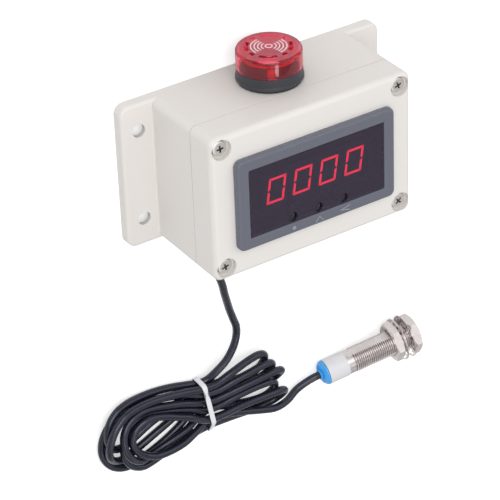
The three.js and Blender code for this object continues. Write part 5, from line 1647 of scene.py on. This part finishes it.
@dataclass
class PanelMeter:
    """Four-digit panel meter with three keys."""

    palette: Palette
    flange: Pair = (0.079, 0.043)
    up_mark: Point = (0.0022, 0.0014, 0.0006)
    left_mark: Point = (0.0014, 0.0026, 0.0005)
    flange_low: float = 0.05015
    flange_top: float = 0.05315
    flange_corner: float = 0.003
    chamfer: float = 0.0013
    case: Pair = (0.0754, 0.0384)
    case_low: float = 0.0287
    case_wall: float = 0.0018
    pane: Pair = (0.0674, 0.0318)
    pane_low: float = 0.05135
    pane_top: float = 0.05285
    pane_gap: float = 0.00025
    ledge: float = 0.0007
    key_first: float = -0.0126
    key_pitch: float = 0.01285
    key_y: float = -0.01345
    key_hole: float = 0.0021
    plunger: float = 0.0017
    plunger_low: float = 0.04395
    plunger_top: float = 0.05145
    mark_y: float = -0.0186
    digit_x: float = 0.0003
    digit_y: float = 0.0012
    digit_pitch: float = 0.01307
    digit_shift: float = 0.00025
    digit_size: Pair = (0.0086, 0.0119)
    slant: float = 0.155
    stroke: float = 0.00112
    joint: float = 0.00014
    middle_joint: float = 0.0002
    slot_gap: float = 0.00005
    dot_radius: float = 0.00065
    dot_at: Pair = (0.005275, -0.0056)
    shell_low: float = 0.04235
    shell_height: float = 0.0184
    shell_wall: float = 0.0009
    face_depth: float = 0.0024
    display_top: float = 0.04985
    slab: Pair = (0.04605, 0.04725)
    slab_size: Pair = (0.01247, 0.016)

    def build(self) -> None:
        """Makes the frame, window, marks, digits and keys."""
        self.bezel()
        self.window()
        self.marks()
        self.shell()
        self.digits()
        self.keys()

    def key_places(self) -> list[float]:
        """Places of the three keys along X."""
        return [self.key_first + i * self.key_pitch for i in range(3)]

    def bezel(self) -> None:
        """Makes the front frame and its case tube."""
        low, top = self.flange_low, self.flange_top
        outline = rounded(*self.flange, self.flange_corner, 8)
        bezel = Bench.prism("meter_bezel_frame", outline, low, top)
        Bench.soften(bezel, lambda a, b: min(a.z, b.z) > top - WELD, self.chamfer, 4)
        tube = Bench.prism("tube", rounded(*self.case, 0.001, 4), self.case_low, low + self.chamfer)
        Bench.carve(bezel, tube, "UNION")
        seat = (self.pane[0] + 2 * self.pane_gap, self.pane[1] + 2 * self.pane_gap)
        throat = (seat[0] - 2 * self.ledge, seat[1] - 2 * self.ledge)
        bore = (self.case[0] - 2 * self.case_wall, self.case[1] - 2 * self.case_wall)
        rest = self.pane_low - SEAT_GAP
        cuts = [
            (bore, 0.0002, self.case_low - OVERRUN, rest - self.ledge),
            (seat, 0.0005, rest, top + OVERRUN),
            (throat, 0.0004, self.case_low, top + OVERRUN),
        ]
        for size, corner, start, end in cuts:
            Bench.carve(bezel, Bench.prism("cut", rounded(*size, corner, 4), start, end))

        def inner_rim(a: Vector, b: Vector) -> bool:
            """Picks the window opening's front rim."""
            inside = all(abs(p.x) < 0.0345 and abs(p.y) < 0.0168 for p in (a, b))
            return inside and min(a.z, b.z) > top - WELD * 5

        Bench.soften(bezel, inner_rim, 0.00035, 3)
        Bench.finish(bezel, self.palette["bezel_plastic"], Slot.BEZEL, ["meter_bezel"])

    def window(self) -> None:
        """Makes the smoked window with its three key holes."""
        sheet = Bench.prism("meter_window_pane", rounded(*self.pane, 0.0005, 4), self.pane_low, self.pane_top)
        span = (self.pane_low - OVERRUN, self.pane_top + OVERRUN)
        holes = [Bench.rod("hole", self.key_hole, *span, 40, (x, self.key_y)) for x in self.key_places()]
        Bench.carve(sheet, Bench.gather(holes, "holes"))
        Bench.soften(sheet, lambda a, b: min(a.z, b.z) > self.pane_top - WELD, 0.00015, 2)
        Bench.finish(sheet, self.palette["window_smoke"], Slot.SMOKE, ["meter_window"])

    def marks(self) -> None:
        """Makes the raised dot and the two chevrons under the keys."""
        low, high = self.flange_top + 0.00001, self.flange_top + 0.0002

        def chevron(half: float, rise: float, stroke: float) -> list[Pair]:
            """Outline of a chevron that points along +Y.

            Args:
                half: Half its width.
                rise: Half its height.
                stroke: Its stroke's width.

            Returns:
                The outline.
            """
            inner = rise - 2 * stroke * rise / half
            legs = [(-half, -rise), (stroke - half, -rise), (0, inner), (half - stroke, -rise)]
            return [*legs, (half, -rise), (0, rise)]

        first, second, third = self.key_places()
        dot = Bench.rod("meter_marks", 0.0009, low, high, 32, (first, self.mark_y))
        up = Bench.prism("up", chevron(*self.up_mark), low, high)
        Bench.place(up, Matrix.Translation((second, self.mark_y, 0.0)))
        left = Bench.prism("left", chevron(*self.left_mark), low, high)
        turn = Matrix.Rotation(math.pi / 2, 4, "Z")
        Bench.place(left, Matrix.Translation((third, self.mark_y, 0.0)) @ turn)
        marks = Bench.gather([dot, up, left], "meter_marks")
        Bench.soften(marks, lambda a, b: min(a.z, b.z) > high - WELD, 0.00006, 2)
        Bench.finish(marks, self.palette["mark_paint"], Slot.BEZEL)

    def digit_places(self) -> list[float]:
        """Middles of the four digits' cells along X."""
        return [self.digit_x + (i - 1.5) * self.digit_pitch for i in range(4)]

    def bars(self, grow: float = 0.0) -> list[list[Pair]]:
        """Outlines of the seven segments about a cell's middle, the middle one last.

        Args:
            grow: How far each outline stands off its segment.

        Returns:
            Seven outlines.
        """
        x, y = self.digit_size[0] / 2 + grow, self.digit_size[1] / 2 + grow
        stroke = self.stroke + 2 * grow
        mitre = self.joint - math.sqrt(2) * grow
        waist = self.middle_joint - 1.618 * grow
        flat = [(mitre - x, y), (x - mitre, y), (x - stroke - mitre, y - stroke)]
        flat.append((stroke + mitre - x, y - stroke))
        upright = [(x, y - mitre), (x, waist), (x - stroke, waist + stroke / 2)]
        upright.append((x - stroke, y - stroke - mitre))
        reach, half = x - stroke / 2 - 2 * self.joint, stroke / 2
        middle = [(-reach, 0.0), (half - reach, half), (reach - half, half), (reach, 0.0)]
        middle += [(reach - half, -half), (half - reach, -half)]
        outlines = [flat, [(px, -py) for px, py in flat]]
        for side, end in ((1, 1), (1, -1), (-1, 1), (-1, -1)):
            outlines.append([(side * px, end * py) for px, py in upright])
        outlines.append(middle)
        shift, slant = self.digit_shift, self.slant
        return [[(px + shift + slant * py, py) for px, py in outline] for outline in outlines]

    def shell(self) -> None:
        """Makes the display's shell, open behind, with an opening for each segment."""
        wall, low, top = self.shell_wall, self.shell_low, self.display_top
        face = top - self.face_depth
        wide, tall = 2 * self.digit_pitch, self.shell_height / 2 - wall
        x, y = self.digit_x, self.digit_y
        start = (x - wide - wall, y - tall - wall, low)
        shell = Bench.block("display_shell_face", start, (x + wide + wall, y + tall + wall, top))
        start = (x - wide, y - tall, low - OVERRUN)
        Bench.carve(shell, Bench.block("room", start, (x + wide, y + tall, face)))
        Bench.soften(shell, lambda a, b: min(a.z, b.z) > top - WELD, 0.0002, 2)
        tools = []
        for place in self.digit_places():
            for outline in self.bars(self.slot_gap):
                placed = [(px + place, py + y) for px, py in outline]
                tools.append(Bench.prism("slot", placed, face - OVERRUN, top + OVERRUN))
            at = (place + self.dot_at[0], y + self.dot_at[1])
            radius = self.dot_radius + self.slot_gap
            tools.append(Bench.rod("dot", radius, face - OVERRUN, top + OVERRUN, 20, at))
        Bench.carve(shell, Bench.gather(tools, "slots"))
        Bench.finish(shell, self.palette["display_shell_plastic"], Slot.SHELL, ["display_shell"])

    def digits(self) -> None:
        """Makes one digit's lit and dark fillings and copies them along the display."""
        low, high = self.slab
        top = self.display_top - SURFACE_GAP
        outlines = self.bars()
        wide, tall = self.slab_size
        lit = [Bench.prism("bar", outline, low + SLIM_GAP, top) for outline in outlines[:-1]]
        slab = Bench.block("slab", (-wide / 2, -tall / 2, low), (wide / 2, tall / 2, high))
        lit_piece = Bench.carve(slab, Bench.gather(lit, "bars"), "UNION")
        dark = [Bench.prism("bar", outlines[-1], high + SURFACE_GAP, top)]
        dark.append(Bench.rod("dot", self.dot_radius, high + SURFACE_GAP, top, 20, self.dot_at))
        dark_piece = Bench.gather(dark, "dark")
        for piece in (lit_piece, dark_piece):
            Bench.soften(piece, lambda a, b: min(a.z, b.z) > top - WELD, 0.00003, 1)
        for i, at in enumerate(self.digit_places()):
            move = Matrix.Translation((at, self.digit_y, 0.0))
            node = f"digit_filling_{i + 1}"
            one = Bench.place(Bench.copy(lit_piece, f"digit_lit_{i + 1}"), move)
            Bench.finish(one, self.palette["segment_lit"], Slot.SEGMENT, [node])
            one = Bench.place(Bench.copy(dark_piece, f"digit_dark_{i + 1}"), move)
            Bench.finish(one, self.palette["segment_dark"], Slot.SEGMENT, [node])
        for piece in (lit_piece, dark_piece):
            bpy.data.objects.remove(piece)

    def keys(self) -> None:
        """Makes the key plungers with a dished top."""
        radius, low, top = self.plunger, self.plunger_low, self.plunger_top
        profile = [(0.0, low), (radius - 0.0002, low), (radius, low + 0.0002), (radius, top - 0.0004)]
        profile += [(radius - 0.00012, top - 0.00012), (radius - 0.0004, top)]
        profile += [(0.0009, top - 0.00015), (0.0, top - 0.0002)]
        pattern = Bench.turned("pattern", profile, 40)
        bodies = (Body.KEY_1, Body.KEY_2, Body.KEY_3)
        for i, (x, body) in enumerate(zip(self.key_places(), bodies, strict=True)):
            one = Bench.copy(pattern, f"key_cap_{i + 1}")
            Bench.place(one, Matrix.Translation((x, self.key_y, 0.0)))
            node = f"key_plunger_{i + 1}"
            Bench.finish(one, self.palette["key_cap_plastic"], Slot.SHELL, [node], body)
        bpy.data.objects.remove(pattern)


# Alarm lamp


@dataclass
class AlarmLamp:
    """Red alarm lamp with a sounder under its slotted top."""

    palette: Palette
    foot: Point = (-0.0007, 0.034, 0.0197)
    turn: float = math.radians(-35)
    core_turn: float = math.radians(-118)
    slot_radius: float = 0.0096
    slot_width: float = 0.0019
    long_slot: float = math.radians(46)
    short_slot: float = math.radians(14)
    wave_first: float = 0.0031
    wave_pitch: float = 0.0015
    wave_width: float = 0.0006
    wave_spread: float = math.radians(96)

    def build(self) -> None:
        """Makes the base, core, lens and waves."""
        self.base()
        self.core()
        self.lens()
        self.waves()

    def stand(self, piece: Piece) -> Piece:
        """Stands a piece made along Z on the enclosure's top side."""
        return Bench.place(piece, Matrix.Translation(self.foot) @ Matrix.Rotation(-math.pi / 2, 4, "X"))

    def base(self) -> None:
        """Makes the dark base with its flange and hollow threaded stem."""
        mm = 0.001
        profile = [(9.0, -12.0), (10.2, -12.0)]
        height = -11.8
        while height < -0.9:
            profile += [(10.4, height), (10.9, height + 0.7), (10.9, height + 0.9), (10.4, height + 1.6)]
            height += 2.0
        profile += [(10.4, 1.0), (14.3, 1.0), (14.5, 1.15), (14.55, 1.35), (14.55, 2.1)]
        profile += [(14.45, 2.4), (14.25, 2.55), (14.15, 2.75), (14.15, 6.0), (14.08, 6.22)]
        profile += [(13.9, 6.3), (12.45, 6.3), (12.45, 4.95), (9.0, 4.95), (9.0, -12.0)]
        base = Bench.turned("lamp_base_ring", [(r * mm, h * mm) for r, h in profile], 96)
        self.stand(base)
        Bench.finish(base, self.palette["dark_plastic"], Slot.BLACK, ["lamp_base"])

    def core(self) -> None:
        """Makes the dark inner cup with four upright recesses."""
        mm = 0.001
        profile = [(0, 5.1), (11.2, 5.1), (11.4, 5.3), (11.4, 10.9), (11.2, 11.1), (10.0, 11.1)]
        profile += [(9.8, 10.9), (9.8, 6.3), (0, 6.3)]
        core = Bench.turned("lamp_core_cup", [(r * mm, h * mm) for r, h in profile], 72)
        tools = []
        for i in range(4):
            slot = Bench.block("slot", (0.0104, -0.0019, 0.0058), (0.0145, 0.0019, 0.0105))
            angle = self.core_turn + i * math.pi / 2
            tools.append(Bench.place(slot, Matrix.Rotation(angle, 4, "Z")))
        Bench.carve(core, Bench.gather(tools, "slots"))
        self.stand(core)
        Bench.finish(core, self.palette["core_plastic"], Slot.BLACK, ["lamp_core"])
        axis = Vector((self.foot[0], 0.0, self.foot[2]))

        def painted_glow_faces(at: Vector, normal: Vector) -> bool:
            """Picks the rim, the inside of the cup and the backs of the recesses, which get a painted red
            glow.

            Args:
                at: The face's middle.
                normal: Its normal.

            Returns:
                Whether the face is picked.
            """
            out = Vector((at.x, 0.0, at.z)) - axis
            inside = out.length < 0.0101 and normal.dot(out) < 0.0
            back = 0.0102 < out.length < 0.0107 and normal.dot(out) > 0.9 * out.length
            return inside or back or (normal.y > 0.7 and at.y > self.foot[1] + 0.0108)

        # Painted light: the rim, the cup's inside and the recess backs glow red.
        Bench.paint(core, self.palette["reflector_red"], painted_glow_faces)

    def lens(self) -> None:
        """Makes the red lens: a cup with sound slots in its top."""
        mm = 0.001
        profile = [(12.75, 6.45), (14.0, 6.45), (14.15, 6.6), (14.15, 13.45)]
        for i in range(1, 9):
            angle = math.pi / 2 * i / 8
            profile.append((12.55 + 1.6 * math.cos(angle), 13.45 + 1.6 * math.sin(angle)))
        profile += [(11.6, 15.05), (11.4, 14.9), (11.2, 15.05), (0, 15.05), (0, 13.45)]
        profile += [(12.35, 13.45), (12.75, 13.05), (12.75, 6.45)]
        lens = Bench.turned("lamp_lens_cup", [(r * mm, h * mm) for r, h in profile], 96)
        tools = [Bench.rod("hole", 0.001, 0.012, 0.017, 32)]
        for i in range(8):
            half = (self.long_slot if i % 2 == 0 else self.short_slot) / 2
            middle = self.turn + i * math.pi / 4
            outline = band(self.slot_radius, self.slot_width, middle - half, middle + half, 12)
            tools.append(Bench.prism("slot", outline, 0.012, 0.017))
        Bench.carve(lens, Bench.gather(tools, "slots"))
        self.stand(lens)
        Bench.finish(lens, self.palette["lens_red"], Slot.LENS, ["lamp_lens"])
        top = self.foot[1] + 0.01485
        Bench.paint(lens, self.palette["lens_frosted"], lambda at, normal: at.y > top)

    def waves(self) -> None:
        """Makes the pale ring and the arcs about it on the lens."""
        low, high = 0.01506, 0.01525
        full = band(0.00145, self.wave_width, 0.0, math.pi, 16)
        other = band(0.00145, self.wave_width, math.pi, 2 * math.pi, 16)
        made = [Bench.prism("ring", full, low, high), Bench.prism("ring", other, low, high)]
        for side in (0.0, math.pi):
            for i in range(4):
                radius = self.wave_first + i * self.wave_pitch
                middle, half = self.turn + side, self.wave_spread / 2
                outline = band(radius, self.wave_width, middle - half, middle + half, 20)
                made.append(Bench.prism("wave", outline, low, high))
        waves = Bench.gather(made, "lamp_waves")
        Bench.soften(waves, lambda a, b: min(a.z, b.z) > high - WELD, 0.00006, 2)
        self.stand(waves)
        Bench.finish(waves, self.palette["wave_ink"], Slot.LENS)


# Proximity sensor


@dataclass
class ProximitySensor:
    """Threaded proximity sensor with its nuts and lock washers."""

    palette: Palette
    entry: Point = (0.0299, -0.1388, 0.00564)
    heading: float = math.radians(8)
    lean: float = math.radians(6.3893)
    length: float = 0.052
    pitch: float = 0.001
    crest: float = 0.006
    root: float = 0.00545
    flat: float = 0.005
    flat_start: float = 0.0142
    second_start: float = 0.0172

    def basis(self) -> Matrix:
        """Frame of the sensor: Z along its axis, Y to its side.

        Returns:
            The frame as a matrix.
        """
        axis = Vector((
            math.cos(self.lean) * math.cos(self.heading),
            math.cos(self.lean) * math.sin(self.heading),
            math.sin(self.lean),
        ))
        side = Vector((-math.sin(self.heading), math.cos(self.heading), 0.0))
        down = side.cross(axis)
        turn = Matrix((down, side, axis)).transposed().to_4x4()
        return Matrix.Translation(self.entry) @ turn

    def lay(self, piece: Piece) -> Piece:
        """Lays a piece made along Z on the sensor's axis."""
        return Bench.place(piece, self.basis())

    def build(self) -> None:
        """Makes the cap, label, barrel, nuts, washers and face."""
        self.cap()
        self.label()
        self.barrel()
        self.nuts()
        self.washers()
        self.face()

    def cap(self) -> None:
        """Makes the blue end cap with its cable collar."""
        mm = 0.001
        profile = [(0, 1.0), (1.86, 1.0), (1.86, 0.0), (2.5, 0.0), (2.7, 0.2), (2.7, 1.0)]
        profile += [(4.3, 1.0), (4.5, 1.05), (5.8, 2.4), (5.9, 2.6), (5.9, 3.05), (5.75, 3.2)]
        profile += [(4.6, 3.2), (4.6, 8.0), (4.4, 8.2), (0, 8.2)]
        cap = Bench.turned("sensor_cap_plug", [(r * mm, h * mm) for r, h in profile], 64)
        self.lay(cap)
        Bench.finish(cap, self.palette["cap_plastic"], Slot.BLUE, ["sensor_cap"])

    def label(self) -> None:
        """Makes the bare white sleeve."""
        mm = 0.001
        profile = [(5.8, 3.35), (5.97, 3.35), (6.0, 3.38), (6.0, 13.52), (5.97, 13.55)]
        profile += [(5.8, 13.55), (5.8, 3.35)]
        label = Bench.turned("sensor_label_sleeve", [(r * mm, h * mm) for r, h in profile], 64)
        self.lay(label)
        Bench.finish(label, self.palette["label_film"], Slot.WHITE, ["sensor_label"])

    def barrel(self) -> None:
        """Makes the barrel with its full thread and its two flats."""
        mm = 0.001
        profile = [(4.9 * mm, 3.35 * mm), (5.75 * mm, 3.35 * mm), (5.75 * mm, 16.9 * mm)]
        profile.append((self.root, 17.2 * mm))
        height = 0.0175
        while height < self.length - 0.0012:
            profile.append((self.root, height + 0.06 * self.pitch))
            profile.append((self.crest, height + 0.44 * self.pitch))
            profile.append((self.crest, height + 0.56 * self.pitch))
            profile.append((self.root, height + 0.94 * self.pitch))
            height += self.pitch
        profile += [(self.root, self.length), (0.0049, self.length), (0.0049, 0.00335)]
        barrel = Bench.turned("sensor_barrel_thread", profile, 64)
        end = self.length + OVERRUN
        tool = Bench.block("flat", (-0.01, self.flat, self.flat_start), (0.01, 0.02, end))
        Bench.carve(barrel, tool)
        tool = Bench.block("flat", (-0.01, -0.02, self.second_start), (0.01, -self.flat, end))
        Bench.carve(barrel, tool)
        self.lay(barrel)
        # The thread gets painted shade in its roots; the flats and the neck get the plain finish below.
        Bench.finish(barrel, self.palette["thread_nickel"], Slot.NICKEL, ["sensor_barrel"])
        side = self.basis().col[1].xyz
        inward = self.basis().inverted()

        def smooth(at: Vector, normal: Vector) -> bool:
            """Picks the flats and the neck before the thread."""
            return abs(normal.dot(side)) > 0.999 or (inward @ at).z < self.second_start

        Bench.paint(barrel, self.palette["sensor_nickel"], smooth)

    def hexagon(self, name: str, low: float, high: float) -> Piece:
        """Makes one chamfered nut.

        Args:
            name: The nut's name.
            low: Where it starts along the axis.
            high: Where it ends.

        Returns:
            The nut.
        """
        corner = 0.017 / math.sqrt(3)
        nut = Bench.rod(name, corner, low, high, 6)
        edge, drop = 0.0014, 0.0008
        profile = [(0, low), (corner - edge, low), (corner + 0.0001, low + drop)]
        profile += [(corner + 0.0001, high - drop), (corner - edge, high), (0, high)]
        Bench.carve(nut, Bench.turned("cone", profile, 96), "INTERSECT")
        bore = [(0, low - OVERRUN), (0.0068, low - OVERRUN), (0.0068, low), (0.00608, low + 0.0006)]
        bore += [(0.00608, high - 0.0006), (0.0068, high), (0.0068, high + OVERRUN), (0, high + OVERRUN)]
        Bench.carve(nut, Bench.turned("bore", bore, 64))
        return nut

    def nuts(self) -> None:
        """Makes the two nuts."""
        mm = 0.001
        places = [("rear", 37.6, Body.REAR_NUT), ("front", 46.9, Body.FRONT_NUT)]
        for name, low, body in places:
            nut = self.hexagon(f"sensor_hex_{name}", low * mm, (low + 4.0) * mm)
            Bench.soften(nut, lambda a, b: True, 0.00012, 2)
            self.lay(nut)
            Bench.finish(nut, self.palette["sensor_nickel"], Slot.NICKEL, [f"sensor_nut_{name}"], body)

    def washers(self) -> None:
        """Makes the two lock washers with twisted teeth inside a smooth rim."""
        mm = 0.001
        places = [("rear", 41.75, Body.REAR_WASHER), ("front", 45.85, Body.FRONT_WASHER)]
        for name, low, body in places:
            middle = (low + 0.45) * mm
            half = 0.00025
            profile = [(0.0093, middle - half), (0.0102, middle - half), (0.0103, middle - half + 0.0001)]
            profile += [(0.0103, middle + half - 0.0001), (0.0102, middle + half)]
            profile += [(0.0093, middle + half), (0.0093, middle - half)]
            washer = Bench.turned(f"sensor_tooth_washer_{name}", profile, 96)
            teeth = []
            for i in range(16):
                tooth = Bench.block("tooth", (0.0063, -0.0008, -half), (0.0094, 0.0008, half))
                twist = Matrix.Rotation(math.radians(14), 4, "X")
                spin = Matrix.Rotation((i + 0.5) * math.pi / 8, 4, "Z")
                teeth.append(Bench.place(tooth, Matrix.Translation((0, 0, middle)) @ spin @ twist))
            Bench.carve(washer, Bench.gather(teeth, "teeth"), "UNION")
            self.lay(washer)
            node = f"sensor_washer_{name}"
            Bench.finish(washer, self.palette["sensor_nickel"], Slot.NICKEL, [node], body)

    def face(self) -> None:
        """Makes the plug at the sensing end."""
        mm = 0.001
        profile = [(0, 49.8), (4.6, 49.8), (4.6, 51.8), (4.5, 52.05), (4.2, 52.2), (0, 52.2)]
        face = Bench.turned("sensor_face_plug", [(r * mm, h * mm) for r, h in profile], 64)
        self.lay(face)
        Bench.finish(face, self.palette["cap_plastic"], Slot.BLUE, ["sensor_face"])


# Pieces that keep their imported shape


@dataclass
class InnerPieces:
    """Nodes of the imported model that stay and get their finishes."""

    palette: Palette
    finishes: dict[str, str] = field(default_factory=lambda: {
        "cover_gasket": "gasket_rubber",
        "screw_insert": "insert_brass",
        "display_board": "board_resist",
        "key_switch": "chip_resin",
        "rear_board": "board_resist",
        "board_header": "chip_resin",
        "controller_chip": "chip_resin",
        "alarm_relay": "terminal_plastic",
        "supply_capacitor": "chip_resin",
        "terminal_block": "terminal_plastic",
        "meter_rear_lid": "bezel_plastic",
        "meter_clip": "bezel_plastic",
        "lamp_seal": "gasket_rubber",
        "lamp_board": "board_resist",
        "lamp_light": "lens_red",
        "lamp_sounder": "dark_plastic",
        "lamp_plug": "dark_plastic",
        "lamp_nut": "dark_plastic",
        "sensor_board": "board_resist",
        "sensor_chip": "chip_resin",
    })

    def build(self) -> None:
        """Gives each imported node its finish."""
        for name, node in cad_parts.items():
            for start, finish in self.finishes.items():
                if name.startswith(start):
                    for slot in node.material_slots:
                        slot.material = self.palette[finish]
                    LOG.info("%s: %s", name, finish)


def main() -> None:
    """Builds the object and its studio."""
    logging.basicConfig(level=logging.INFO, format="%(message)s")
    sensor_turn = ProximitySensor(Palette()).basis()
    euler = sensor_turn.to_euler()
    palette = Palette(tuple(sensor_turn.translation), tuple(euler))
    palette.build()
    PhotoStudio().build()
    for part in (SignalCable, Enclosure, PanelMeter, AlarmLamp, ProximitySensor, InnerPieces):
        part(palette).build()


if __name__ == "__main__":
    main()
